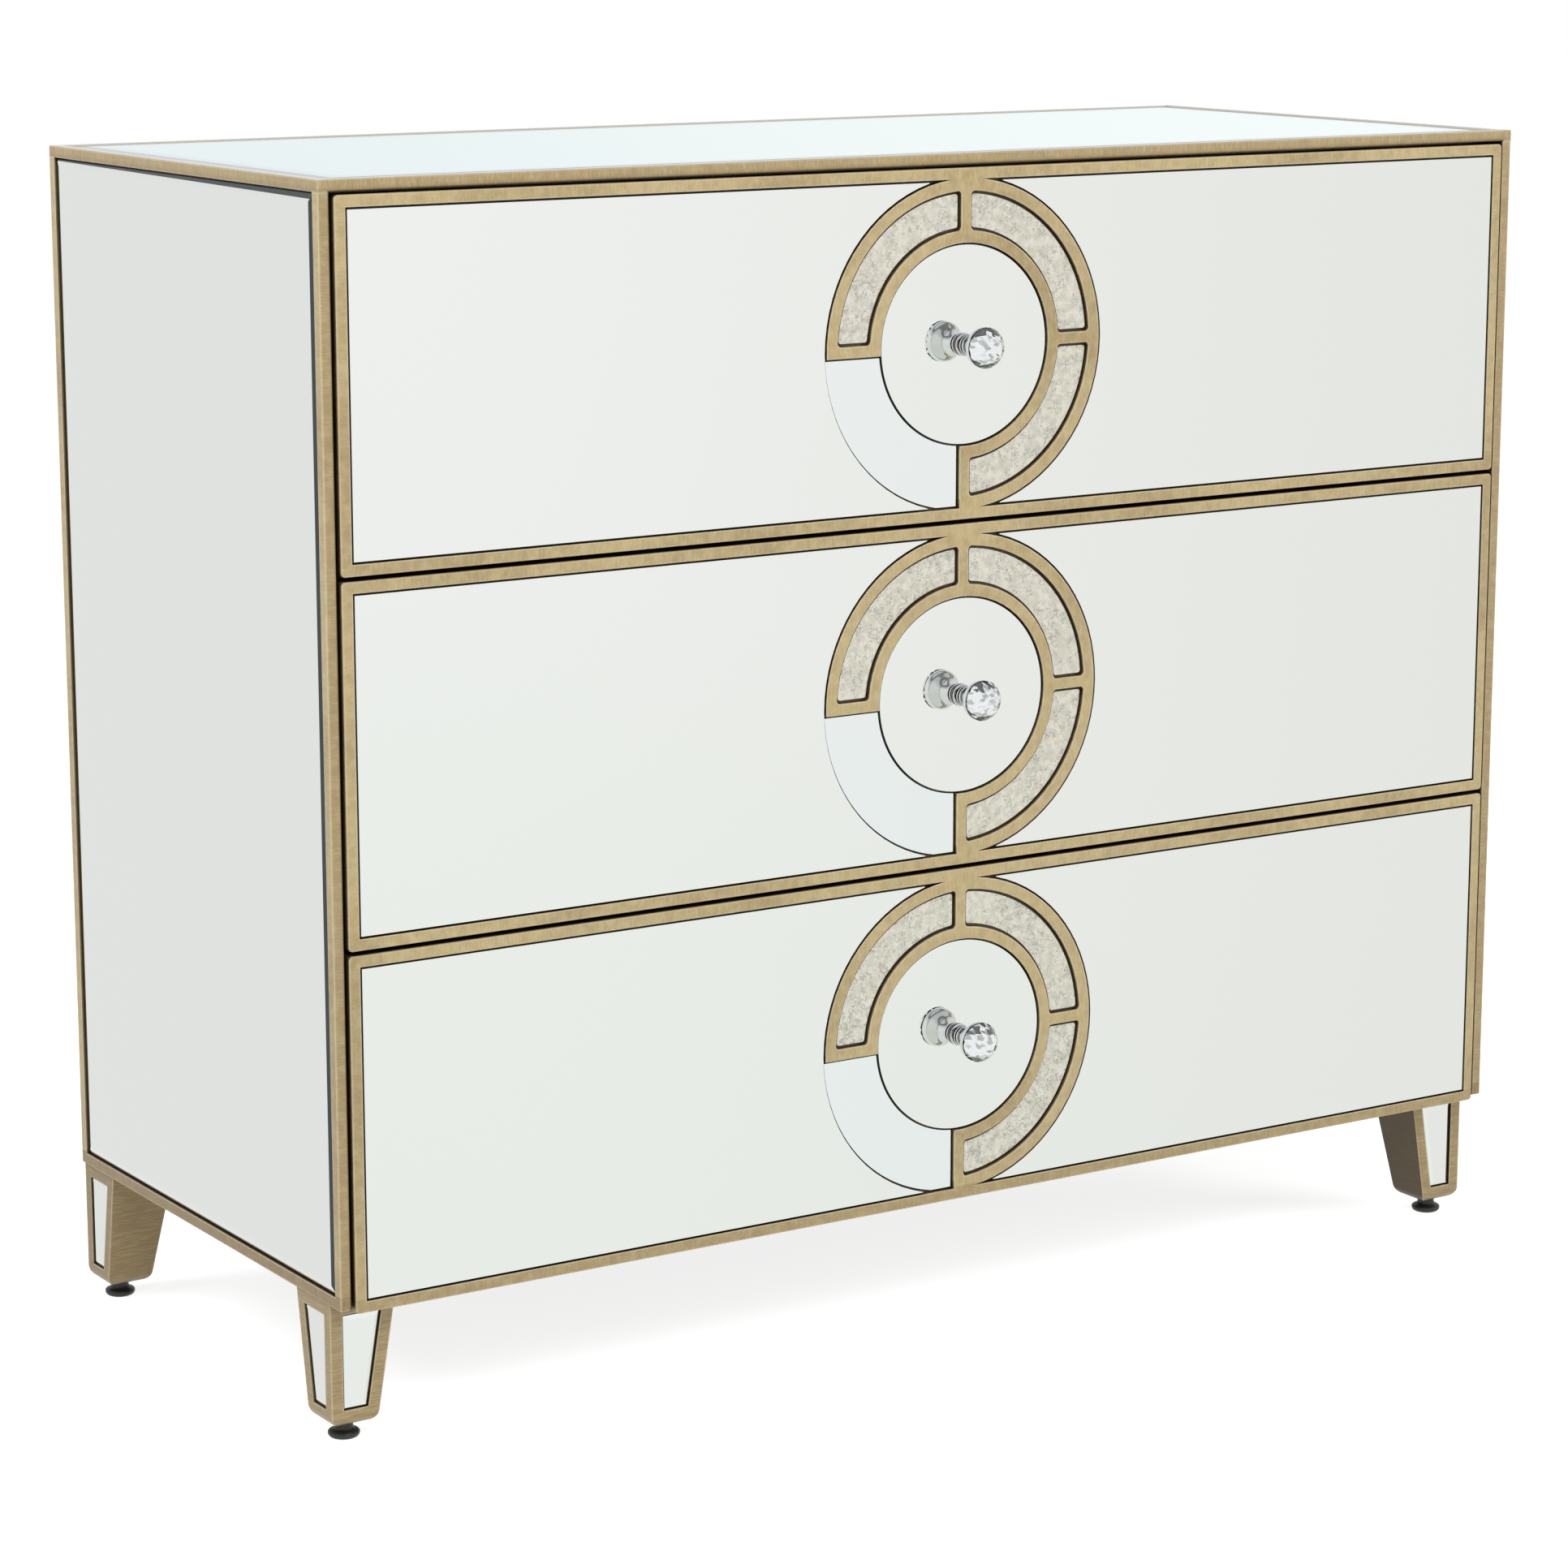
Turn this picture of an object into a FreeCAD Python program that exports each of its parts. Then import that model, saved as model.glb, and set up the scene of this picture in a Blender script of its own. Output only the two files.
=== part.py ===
"""Mirrored chest of three drawers: gold painted boards with recessed mirrors and ring fretwork.

Millimetres. +X is the chest's right as seen from the front, the drawers open towards -Y, +Z is up.
The origin lies on the floor, under the middle of the whole chest with its knobs.
"""
import FreeCAD, Part
import os
import re

import Sketcher
from FreeCAD import Placement, Rotation, Vector

# Driving sizes

SIZES = {
    # the chest as a whole
    "chest_width": 1000,
    "carcass_depth": 420,
    "body_height": 750,
    "leg_height": 90,
    "foot_height": 12,
    # boards of the carcass, and the gold bar that shows round every mirror
    "bar_width": 8,
    "panel_thickness": 18,
    "back_thickness": 6,
    "back_gap": 0.5,
    "rail_depth": 60,
    "edge_round": 0.8,
    # dowels between the side panels and the boards that they carry
    "dowel_radius": 3,
    "dowel_length": 30,
    "dowel_grip": 9,
    "dowel_chamfer": 0.8,
    # drawer fronts and the gaps round them
    "front_thickness": 18,
    "front_proud": 2,
    "front_drop": 3,
    "front_side_gap": 2.4,
    "front_top_gap": 2,
    "front_gap": 3,
    "front_back_gap": 4,
    "front_corner": 3,
    # glass, its recess below the gold bars and the gap round its edge
    "glass_thickness": 4,
    "glass_recess": 0.5,
    "glass_gap": 1.5,
    "antique_thickness": 2.1,
    "antique_gap": 2.1,
    "disc_thickness": 2.8,
    "quarter_thickness": 2,
    "side_bevel": 5,
    "top_bevel": 11,
    "bevel_drop": 1.2,
    # ring fretwork
    "ring_overlap": 0.7,
    "ring_band": 8.5,
    "window_width": 27.5,
    "window_corner": 3,
    "spoke_width": 8,
    "glass_corner": 2,
    "quarter_corner": 0.6,
    "pane_tip": 31,
    # knob
    "knob_base_radius": 12.4,
    "stem_length": 22.2,
    "crystal_radius": 14.5,
    "crystal_length": 17.5,
    "knob_thread_depth": 9,
    # drawer box
    "box_thickness": 12,
    "box_bottom_thickness": 5,
    "box_bottom_lift": 8,
    "groove_depth": 6,
    "groove_gap": 0.2,
    "box_floor_gap": 5,
    "box_top_gap": 6,
    "box_back_gap": 48,
    # screws that hold the front and the knob
    "screw_radius": 2,
    "screw_head_radius": 4,
    "screw_head_height": 2.6,
    "screw_grip": 9,
    "screw_inset": 40,
    "hole_gap": 0.3,
    "thread_gap": 0.05,
    # telescopic runners
    "runner_width": 12.7,
    "runner_height": 45,
    "runner_wall": 1.2,
    "runner_bend": 2,
    "runner_gap": 0.4,
    "runner_setback": 2,
    # screws of the back panel
    "back_screw_radius": 1.8,
    "back_screw_head_radius": 3.6,
    "back_screw_head_height": 2,
    "back_screw_length": 22,
    # legs and their mirrors
    "leg_top": 49.5,
    "leg_toe": 34.5,
    "leg_inset": 2,
    "leg_front_gap": 0.5,
    "leg_toe_round": 9,
    "leg_border": 9,
    "leg_glass_top": 10,
    "leg_glass_toe": 12.5,
    "leg_glass_thickness": 3,
    "leg_glass_gap": 1.1,
    "leg_bevel": 3,
    "leg_bevel_drop": 0.8,
    "leg_bolt_radius": 4,
    "leg_bolt_head_radius": 8,
    "leg_bolt_head_height": 4.5,
    "leg_bolt_grip": 40,
    "leg_bolt_inset": 33,
    # levelling feet
    "foot_radius": 11,
    "foot_gap": 0.3,
    "foot_stem_radius": 4,
    "foot_stem_length": 24,
    "foot_stem_gap": 0.08,
    "foot_stem_clearance": 3,
    # overrun of every cut that goes right through
    "overrun": 1,
}

DRAWERS = ("lower", "middle", "upper")
BACK_SCREW_HEIGHT_SHARES = (0.04, 0.27, 0.5, 0.73, 0.96)
BOARD_DOWEL_SHARES = (0.25, 0.5, 0.75)
RAIL_DOWEL_SHARES = (0.3, 0.7)
CRYSTAL_SIDES = 12

# Turned outlines: share of the radius, share of the length from the seat outwards
KNOB_BASE_SHARES = (
    (0.65, 0.0), (0.65, 0.06), (0.6, 0.09), (0.53, 0.13), (0.52, 0.18), (0.57, 0.2), (0.57, 0.24),
    (0.52, 0.26), (0.52, 0.31), (0.57, 0.33), (0.57, 0.37), (0.52, 0.39), (0.51, 0.5), (0.54, 0.62),
    (0.61, 0.74), (0.74, 0.85), (0.9, 0.94), (1.0, 0.98), (1.0, 1.0),
)
CRYSTAL_SHARES = (
    (0.8, 0.0), (0.92, 0.14), (1.0, 0.31), (0.86, 0.53), (0.7, 0.71), (0.5, 0.91), (0.33, 1.0),
)
FOOT_SHARES = ((0.84, 0.0), (0.97, 0.12), (1.0, 0.26), (0.97, 0.38), (0.76, 0.52), (0.62, 0.64), (0.6, 0.8))

# Places worked out from the sizes

HALF_WIDTH = "(chest_width / 2)"
BODY_Z = "(foot_height + leg_height)"
TOP_Z = f"({BODY_Z} + body_height)"
POCKET = "(glass_thickness + glass_recess)"
DISC_RECESS = f"({POCKET} - disc_thickness)"
KNOB_REACH = f"(stem_length + crystal_length - {DISC_RECESS})"
FACE_Y = f"(({KNOB_REACH} - front_proud - carcass_depth) / 2)"
LIP_Y = f"({FACE_Y} + front_proud)"
BACK_Y = f"({LIP_Y} + carcass_depth)"
REBATE = "(front_thickness - front_proud + front_back_gap)"
DOWEL_BORE = "(dowel_radius + thread_gap)"

FRONT_WIDTH = "(chest_width - 2 * (bar_width + front_side_gap))"
FRONT_GAPS = f"({len(DRAWERS) - 1} * front_gap + front_top_gap - front_drop)"
FRONT_HEIGHT = f"((body_height - bar_width - {FRONT_GAPS}) / {len(DRAWERS)})"
FIELD_X = f"({FRONT_WIDTH} / 2 - bar_width)"
FIELD_Z = f"({FRONT_HEIGHT} / 2 - bar_width)"
RING_OUTER = f"({FIELD_Z} + ring_overlap)"
WINDOW_OUTER = f"({RING_OUTER} - ring_band)"
WINDOW_INNER = f"({WINDOW_OUTER} - window_width)"
RING_INNER = f"({WINDOW_INNER} - ring_band)"
SPOKE = "(spoke_width / 2)"

BOX_Y = f"({FACE_Y} + front_thickness)"
BOX_WIDTH = "(chest_width - 2 * (panel_thickness + runner_width))"
BOX_DEPTH = "(carcass_depth + front_proud - front_thickness - back_thickness - box_back_gap)"
BOX_LIFT = "(front_drop + panel_thickness + box_floor_gap)"
BOX_HEIGHT = f"({FRONT_HEIGHT} - {BOX_LIFT} - panel_thickness - box_top_gap)"
BOX_INNER_X = f"({BOX_WIDTH} / 2 - box_thickness)"
END_LIFT = "(box_bottom_lift + box_bottom_thickness)"
END_HEIGHT = f"({BOX_HEIGHT} - {END_LIFT})"

RUNNER_STEP = "(runner_wall + runner_gap)"
RUNNER_Y = f"({LIP_Y} + {REBATE} + runner_setback)"
RUNNER_LENGTH = f"({BOX_DEPTH} - front_back_gap - 2 * runner_setback)"
RUNNER_LIFT = f"({BOX_LIFT} + ({BOX_HEIGHT} - runner_height) / 2)"

LEG_X = f"({HALF_WIDTH} - leg_inset)"
LEG_FRONT_Y = f"({LIP_Y} + {REBATE} + leg_front_gap)"
LEG_POCKET = "(leg_glass_thickness + glass_recess)"

UPRIGHT = Rotation()
FRONT = Rotation(Vector(1, 0, 0), 90)
LEFT = Rotation(Vector(0, 0, 1), -90) * FRONT
DOWN = Rotation(Vector(1, 0, 0), 180)
RIGHT = Rotation(Vector(0, 1, 0), 90)
TOLERANCE_SHARE = 1e-6

doc = FreeCAD.newDocument("MirroredChest")
sheet = doc.addObject("Spreadsheet::Sheet", "Sizes")
for row, (alias, size) in enumerate(SIZES.items(), start=1):
    sheet.set(f"A{row}", alias)
    sheet.set(f"B{row}", str(size))
    sheet.setAlias(f"B{row}", alias)
doc.recompute()


# Expressions

def sized(text):
    """Spell each size of an expression as a cell of the sheet."""
    return re.sub(r"[a-z]\w*", lambda word: f"Sizes.{word[0]}" if word[0] in SIZES else word[0], text)


def bind(item, path, text):
    """Tie a property to an expression of the sheet's sizes."""
    item.setExpression(path, sized(text))


def measure(text):
    """The present value of an expression."""
    return float(sheet.evalExpression(sized(text)))


# Sketches

def new_body(label, rotation=UPRIGHT, at=("0", "0", "0")):
    """An empty body, turned, with its own origin at a place given by expressions."""
    body = doc.addObject("PartDesign::Body", label)
    body.Label = label
    body.Placement = Placement(Vector(), rotation)
    for axis, text in zip("xyz", at):
        bind(body, f"Placement.Base.{axis}", text)
    return body


def origin_feature(body, role):
    """An origin plane or axis of a body."""
    return next(item for item in body.Origin.OriginFeatures if item.Role == role)


def sketch_on(body, name, plane="XY_Plane", lift=None, turn=0):
    """A sketch on one of the body's origin planes, lifted along its normal and turned about it."""
    sketch = body.newObject("Sketcher::SketchObject", f"{body.Name}_{name}")
    sketch.AttachmentSupport = [(origin_feature(body, plane), "")]
    sketch.MapMode = "FlatFace"
    sketch.AttachmentOffset = Placement(Vector(), Rotation(Vector(0, 0, 1), turn))
    if lift:
        bind(sketch, "AttachmentOffset.Base.z", lift)
    return sketch


def hold(sketch, text, kind, *where):
    """Add a constraint whose value is an expression."""
    index = sketch.addConstraint(Sketcher.Constraint(kind, *where, measure(text)))
    bind(sketch, f"Constraints[{index}]", text)


def pin(sketch, geometry, point, x, y):
    """Hold a point of the sketch at x and y from its origin."""
    hold(sketch, x, "DistanceX", -1, 1, geometry, point)
    hold(sketch, y, "DistanceY", -1, 1, geometry, point)


def polygon(sketch, corners):
    """A closed outline of straight edges, its corners given by pairs of expressions."""
    points = [Vector(measure(x), measure(y)) for x, y in corners]
    first = sketch.GeometryCount
    for start, end in zip(points, points[1:] + points[:1]):
        sketch.addGeometry(Part.LineSegment(start, end))
    for index, (x, y) in enumerate(corners):
        pin(sketch, first + index, 1, x, y)
        before = first + (index - 1) % len(corners)
        sketch.addConstraint(Sketcher.Constraint("Coincident", before, 2, first + index, 1))


def rectangle(sketch, left, bottom, right, top):
    """An upright rectangle between four edge places."""
    polygon(sketch, ((left, bottom), (right, bottom), (right, top), (left, top)))


def circle(sketch, radius, x="0", y="0"):
    """A circle of a given radius about a place."""
    centre = Vector(measure(x), measure(y))
    index = sketch.addGeometry(Part.Circle(centre, Vector(0, 0, 1), measure(radius)))
    pin(sketch, index, 3, x, y)
    hold(sketch, radius, "Radius", index)


def arc_between(sketch, centre, start, end):
    """The shorter arc from start to end; gives its index and the point numbers of its two ends."""
    radius = (start - centre).Length
    from_angle = (start - centre).getAngle(Vector(1, 0, 0)) * (1 if start.y >= centre.y else -1)
    to_angle = (end - centre).getAngle(Vector(1, 0, 0)) * (1 if end.y >= centre.y else -1)
    anticlockwise = (start - centre).cross(end - centre).z > 0
    angles = (from_angle, to_angle) if anticlockwise else (to_angle, from_angle)
    index = sketch.addGeometry(Part.ArcOfCircle(Part.Circle(centre, Vector(0, 0, 1), radius), *angles))
    return (index, 1, 2) if anticlockwise else (index, 2, 1)


def ring_sector(sketch, inner, outer, land, corner):
    """A quarter of a ring, right of and below the centre, with straight ends and four round corners.

    The ends stay a land away from the two axes. Its corners are tangent to the ends and to the ring.
    """
    inner_size = measure(inner)
    outer_size = measure(outer)
    land_size = measure(land)
    round_size = measure(corner)
    side = land_size + round_size
    inner_reach = ((inner_size + round_size) ** 2 - side ** 2) ** 0.5
    outer_reach = ((outer_size - round_size) ** 2 - side ** 2) ** 0.5
    centres = {
        "lower_inner": Vector(side, -inner_reach), "lower_outer": Vector(side, -outer_reach),
        "upper_outer": Vector(outer_reach, -side), "upper_inner": Vector(inner_reach, -side),
    }
    on_ring = {
        name: centre * ((inner_size if "inner" in name else outer_size) / centre.Length)
        for name, centre in centres.items()
    }
    on_end = {
        name: Vector(land_size, centre.y) if "lower" in name else Vector(centre.x, -land_size)
        for name, centre in centres.items()
    }
    lower_end = (sketch.addGeometry(Part.LineSegment(on_end["lower_inner"], on_end["lower_outer"])), 1, 2)
    edges = [lower_end]
    edges.append(arc_between(sketch, centres["lower_outer"], on_end["lower_outer"], on_ring["lower_outer"]))
    edges.append(arc_between(sketch, Vector(), on_ring["lower_outer"], on_ring["upper_outer"]))
    edges.append(arc_between(sketch, centres["upper_outer"], on_ring["upper_outer"], on_end["upper_outer"]))
    upper_end = (sketch.addGeometry(Part.LineSegment(on_end["upper_outer"], on_end["upper_inner"])), 1, 2)
    edges.append(upper_end)
    edges.append(arc_between(sketch, centres["upper_inner"], on_end["upper_inner"], on_ring["upper_inner"]))
    edges.append(arc_between(sketch, Vector(), on_ring["upper_inner"], on_ring["lower_inner"]))
    edges.append(arc_between(sketch, centres["lower_inner"], on_ring["lower_inner"], on_end["lower_inner"]))
    for (edge, _, end), (following, start, _) in zip(edges, edges[1:] + edges[:1]):
        sketch.addConstraint(Sketcher.Constraint("Tangent", edge, end, following, start))
    for round_edge in (edges[1], edges[3], edges[5], edges[7]):
        hold(sketch, corner, "Radius", round_edge[0])
    for ring_edge, radius in ((edges[2], outer), (edges[6], inner)):
        sketch.addConstraint(Sketcher.Constraint("Coincident", ring_edge[0], 3, -1, 1))
        hold(sketch, radius, "Radius", ring_edge[0])
    sketch.addConstraint(Sketcher.Constraint("Vertical", lower_end[0]))
    sketch.addConstraint(Sketcher.Constraint("Horizontal", upper_end[0]))
    hold(sketch, land, "DistanceX", -1, 1, lower_end[0], 1)
    hold(sketch, f"-{land}", "DistanceY", -1, 1, upper_end[0], 1)


# Features

def pad(body, sketch, length, down=False):
    """Raise a sketch along its normal, or against it."""
    feature = body.newObject("PartDesign::Pad", f"{sketch.Name}_pad")
    feature.Profile = sketch
    bind(feature, "Length", length)
    feature.Reversed = down
    return feature


def pocket(body, sketch, depth, up=False):
    """Cut a sketch into the body against its normal, or along it."""
    feature = body.newObject("PartDesign::Pocket", f"{sketch.Name}_pocket")
    feature.Profile = sketch
    bind(feature, "Length", depth)
    feature.Reversed = up
    return feature


def holes(body, name, places, radius, depth, lift=None, up=False, plane="XY_Plane"):
    """Round holes at a list of places."""
    sketch = sketch_on(body, name, plane, lift)
    for x, y in places:
        circle(sketch, radius, x, y)
    return pocket(body, sketch, depth, up)


def loft(body, profile, section):
    """A straight-sided body between two sketches."""
    feature = body.newObject("PartDesign::AdditiveLoft", f"{profile.Name}_loft")
    feature.Profile = profile
    feature.Sections = [section]
    feature.Ruled = True
    return feature


def rounded(body, feature, radius, chosen):
    """Round the edges of a feature whose bounding boxes pass a test."""
    doc.recompute()
    names = [f"Edge{n}" for n, edge in enumerate(feature.Shape.Edges, start=1) if chosen(edge.BoundBox)]
    fillet = body.newObject("PartDesign::Fillet", f"{feature.Name}_round")
    fillet.Base = (feature, names)
    bind(fillet, "Radius", radius)
    return fillet


def is_upright(box):
    """Whether an edge runs along the body's own Z."""
    return max(box.XLength, box.YLength) < box.ZLength * TOLERANCE_SHARE


def lies_at(height):
    """A test for edges that lie flat at a height of the body's own Z."""
    level = measure(height)
    reach = measure("overrun") * TOLERANCE_SHARE
    return lambda box: abs(box.ZMin - level) < reach and abs(box.ZMax - level) < reach


def stands_at(place):
    """A test for edges along the body's own Z at a place on its X."""
    level = measure(place)
    reach = measure("overrun") * TOLERANCE_SHARE
    return lambda box: is_upright(box) and abs(box.XMin - level) < reach


def turned(label, outline, rotation, at):
    """A piece turned about its own Z from radius and height pairs."""
    body = new_body(label, rotation, at)
    sketch = sketch_on(body, "outline", "XZ_Plane")
    polygon(sketch, outline)
    feature = body.newObject("PartDesign::Revolution", f"{label}_turn")
    feature.Profile = sketch
    feature.ReferenceAxis = (sketch, ["V_Axis"])
    return body


def screw(label, head_radius, head_height, shank_radius, length, rotation, at):
    """A flat-headed screw, its head's top at the place and its shank along its own Z."""
    outline = (
        ("0", "0"), (head_radius, "0"), (head_radius, head_height), (shank_radius, head_height),
        (shank_radius, length), ("0", length),
    )
    return turned(label, outline, rotation, at)


def mirrored(label, source):
    """The piece for the other side of the chest."""
    feature = doc.addObject("Part::Mirroring", label)
    feature.Label = label
    feature.Source = source
    feature.Normal = Vector(1, 0, 0)
    return feature


def group(label, members):
    """Separate solids that share one node."""
    feature = doc.addObject("Part::Compound", label)
    feature.Label = label
    feature.Links = members
    return feature


def pair(label, left):
    """A left piece and its mirror image as one node."""
    return group(label, [left, mirrored(f"{left.Name}_mirrored", left)])


def bevelled_glass(label, outline, thickness, bevel, drop, rotation, at):
    """A pane with a ground bevel; outline gives its corners for an inset from the edge."""
    body = new_body(label, rotation, at)
    slab = sketch_on(body, "slab")
    polygon(slab, outline("0"))
    pad(body, slab, f"{thickness} - {drop}")
    rim = sketch_on(body, "rim", lift=f"{thickness} - {drop}")
    polygon(rim, outline("0"))
    face = sketch_on(body, "face", lift=thickness)
    polygon(face, outline(bevel))
    loft(body, rim, face)
    return body


def inset_rectangle(half_x, half_y):
    """Corners of a centred rectangle for any inset."""
    def outline(inset):
        x = f"({half_x} - {inset})"
        y = f"({half_y} - {inset})"
        return ((f"-{x}", f"-{y}"), (x, f"-{y}"), (x, y), (f"-{x}", y))
    return outline


# Carcass

def top_panel():
    """Board with a thin rim that covers the sides and a thicker core between them."""
    body = new_body("top_panel", at=("0", LIP_Y, f"{TOP_Z} - bar_width"))
    rim = sketch_on(body, "rim")
    rectangle(rim, f"-{HALF_WIDTH}", "0", HALF_WIDTH, "carcass_depth")
    slab = pad(body, rim, "bar_width")
    rounded(body, slab, "edge_round", lies_at("bar_width"))
    core = sketch_on(body, "core")
    inner = f"({HALF_WIDTH} - panel_thickness)"
    rectangle(core, f"-{inner}", REBATE, inner, "carcass_depth - back_thickness")
    pad(body, core, "panel_thickness - bar_width", down=True)
    recess = sketch_on(body, "recess", lift="bar_width")
    side = f"({HALF_WIDTH} - bar_width)"
    rectangle(recess, f"-{side}", "bar_width", side, "carcass_depth - bar_width")
    pocket(body, recess, POCKET)
    dowel_holes(body, board_dowel_places("-(panel_thickness - bar_width) / 2"), inner)
    return body


def top_mirror():
    """Bevelled glass that lies in the top panel's recess."""
    outline = inset_rectangle(
        f"({HALF_WIDTH} - bar_width - glass_gap)", "(carcass_depth / 2 - bar_width - glass_gap)")
    place = ("0", f"{LIP_Y} + carcass_depth / 2", f"{TOP_Z} - {POCKET}")
    return bevelled_glass("top_mirror", outline, "glass_thickness", "top_bevel", "bevel_drop", UPRIGHT, place)


def left_side_panel():
    """Side board, rebated for the drawer fronts and the back, recessed for its mirror."""
    height = "body_height - bar_width"
    body = new_body("left_side_panel", at=(f"-{HALF_WIDTH}", LIP_Y, BODY_Z))
    plan = sketch_on(body, "plan")
    inner_back = "carcass_depth - back_thickness"
    polygon(plan, (
        ("0", "0"), ("bar_width", "0"), ("bar_width", REBATE), ("panel_thickness", REBATE),
        ("panel_thickness", inner_back), ("bar_width", inner_back), ("bar_width", "carcass_depth"),
        ("0", "carcass_depth"),
    ))
    board = pad(body, plan, height)
    lip = measure("bar_width")
    rounded(body, board, "edge_round", lambda box: is_upright(box) and box.YMax < lip and box.XMax < 2 * lip)
    recess = sketch_on(body, "recess", "YZ_Plane")
    rectangle(recess, "bar_width", "bar_width", "carcass_depth - bar_width", f"{height} + overrun")
    pocket(body, recess, POCKET, up=True)
    screw_x = "(bar_width + panel_thickness) / 2"
    places = [(screw_x, f"{share} * ({height})") for share in BACK_SCREW_HEIGHT_SHARES]
    grip = "back_screw_length - back_thickness + overrun"
    radius = "back_screw_radius + thread_gap"
    holes(body, "pilots", places, radius, grip, f"-({inner_back})", up=True, plane="XZ_Plane")
    places = side_dowel_places()
    holes(body, "dowels", places, DOWEL_BORE, "dowel_grip + overrun", "panel_thickness", plane="YZ_Plane")
    return body


def board_dowel_places(height, front="0"):
    """Where dowels enter the end of a full-depth board, from the carcass's front edge."""
    return [(f"{front} + {share} * carcass_depth", height) for share in BOARD_DOWEL_SHARES]


def rail_dowel_places(height, front="0"):
    """Where dowels enter the end of a rail, from the rail's front edge."""
    return [(f"{front} + {share} * rail_depth", height) for share in RAIL_DOWEL_SHARES]


def side_dowel_places():
    """Where dowels enter a side panel, from its lower front corner."""
    top_height = "body_height - (panel_thickness + bar_width) / 2"
    places = board_dowel_places("panel_thickness / 2") + board_dowel_places(top_height)
    for number in range(1, len(DRAWERS)):
        places += rail_dowel_places(f"{rail_z(number)} + panel_thickness / 2 - {BODY_Z}", REBATE)
    return places


def dowel_holes(body, places, half_length):
    """Holes for dowels in both ends of a board."""
    depth = "dowel_length - dowel_grip + overrun"
    ends = (("left_dowels", f"-{half_length}", True), ("right_dowels", half_length, False))
    for name, end, inwards in ends:
        holes(body, name, places, DOWEL_BORE, depth, end, inwards, "YZ_Plane")


def carcass_dowels():
    """Dowels that join the top, bottom and rails to the side panels."""
    outline = (
        ("0", "0"), ("dowel_radius - dowel_chamfer", "0"), ("dowel_radius", "dowel_chamfer"),
        ("dowel_radius", "dowel_length - dowel_chamfer"), ("dowel_radius - dowel_chamfer", "dowel_length"),
        ("0", "dowel_length"),
    )
    start = f"-{HALF_WIDTH} + panel_thickness - dowel_grip"
    members = []
    for number, (y, z) in enumerate(side_dowel_places(), start=1):
        left = turned(f"dowel_{number}", outline, RIGHT, (start, f"{LIP_Y} + {y}", f"{BODY_Z} + {z}"))
        members += [left, mirrored(f"{left.Name}_mirrored", left)]
    return group("carcass_dowels", members)


def left_side_mirror():
    """Bevelled glass that stands in the side panel's recess."""
    glass_height = "(body_height - 2 * bar_width - 2 * glass_gap)"
    outline = inset_rectangle("(carcass_depth / 2 - bar_width - glass_gap)", f"{glass_height} / 2")
    place = (
        f"-{HALF_WIDTH} + {POCKET}", f"{LIP_Y} + carcass_depth / 2",
        f"{BODY_Z} + bar_width + glass_gap + {glass_height} / 2",
    )
    return bevelled_glass(
        "left_side_mirror", outline, "glass_thickness", "side_bevel", "bevel_drop", LEFT, place)


def back_panel():
    """Thin board in the rebates of the sides, under the top's rim."""
    height = "(body_height - bar_width)"
    half = f"({HALF_WIDTH} - bar_width - back_gap)"
    body = new_body("back_panel", FRONT, ("0", BACK_Y, BODY_Z))
    board = sketch_on(body, "board")
    rectangle(board, f"-{half}", "0", half, f"{height} - back_gap")
    pad(body, board, "back_thickness")
    places = back_screw_places()
    head = "back_screw_head_radius + hole_gap"
    holes(body, "heads", places, head, "back_screw_head_height", up=True)
    holes(body, "shanks", places, "back_screw_radius + hole_gap", "back_thickness + overrun", up=True)
    return body


def back_screw_places():
    """Where the back panel's screws go, seen from the front."""
    x = f"({HALF_WIDTH} - (bar_width + panel_thickness) / 2)"
    heights = [f"{share} * (body_height - bar_width)" for share in BACK_SCREW_HEIGHT_SHARES]
    return [(f"{sign}{x}", height) for sign in ("-", "") for height in heights]


def back_screws():
    """Screws that hold the back panel to the side panels."""
    members = []
    for number, (x, height) in enumerate(back_screw_places(), start=1):
        members.append(screw(
            f"back_screw_{number}", "back_screw_head_radius", "back_screw_head_height", "back_screw_radius",
            "back_screw_length", FRONT, (x, BACK_Y, f"{BODY_Z} + {height}")))
    return group("back_screws", members)


def leg_bolt_places():
    """Where the bolts of the legs pass the bottom panel, from its middle front edge."""
    x = f"({LEG_X} - leg_bolt_inset)"
    front = f"{LEG_FRONT_Y} + leg_top / 2"
    back = f"{BACK_Y} - leg_top / 2"
    return [(f"{sign}{x}", y) for sign in ("-", "") for y in (front, back)]


def bottom_panel():
    """Board between the sides that carries the legs' bolts."""
    inner = f"({HALF_WIDTH} - panel_thickness)"
    body = new_body("bottom_panel", at=("0", "0", BODY_Z))
    board = sketch_on(body, "board")
    rectangle(board, f"-{inner}", f"{LIP_Y} + {REBATE}", inner, f"{BACK_Y} - back_thickness")
    pad(body, board, "panel_thickness")
    places = leg_bolt_places()
    head = "leg_bolt_head_radius + hole_gap"
    holes(body, "heads", places, head, "leg_bolt_head_height", lift="panel_thickness")
    shank = "leg_bolt_radius + hole_gap"
    holes(body, "shanks", places, shank, "panel_thickness + overrun", lift="panel_thickness")
    dowel_holes(body, board_dowel_places("panel_thickness / 2", LIP_Y), inner)
    return body


def leg_bolts():
    """Bolts from the bottom panel down into the legs."""
    length = "panel_thickness + leg_bolt_grip"
    members = []
    for number, (x, y) in enumerate(leg_bolt_places(), start=1):
        members.append(screw(
            f"leg_bolt_{number}", "leg_bolt_head_radius", "leg_bolt_head_height", "leg_bolt_radius",
            length, DOWN, (x, y, f"{BODY_Z} + panel_thickness")))
    return group("leg_bolts", members)


def rail_z(number):
    """Height of the lower face of the rail under a drawer front, counted from the lowest."""
    return f"({front_z(number)} - (front_gap + panel_thickness) / 2)"


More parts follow.
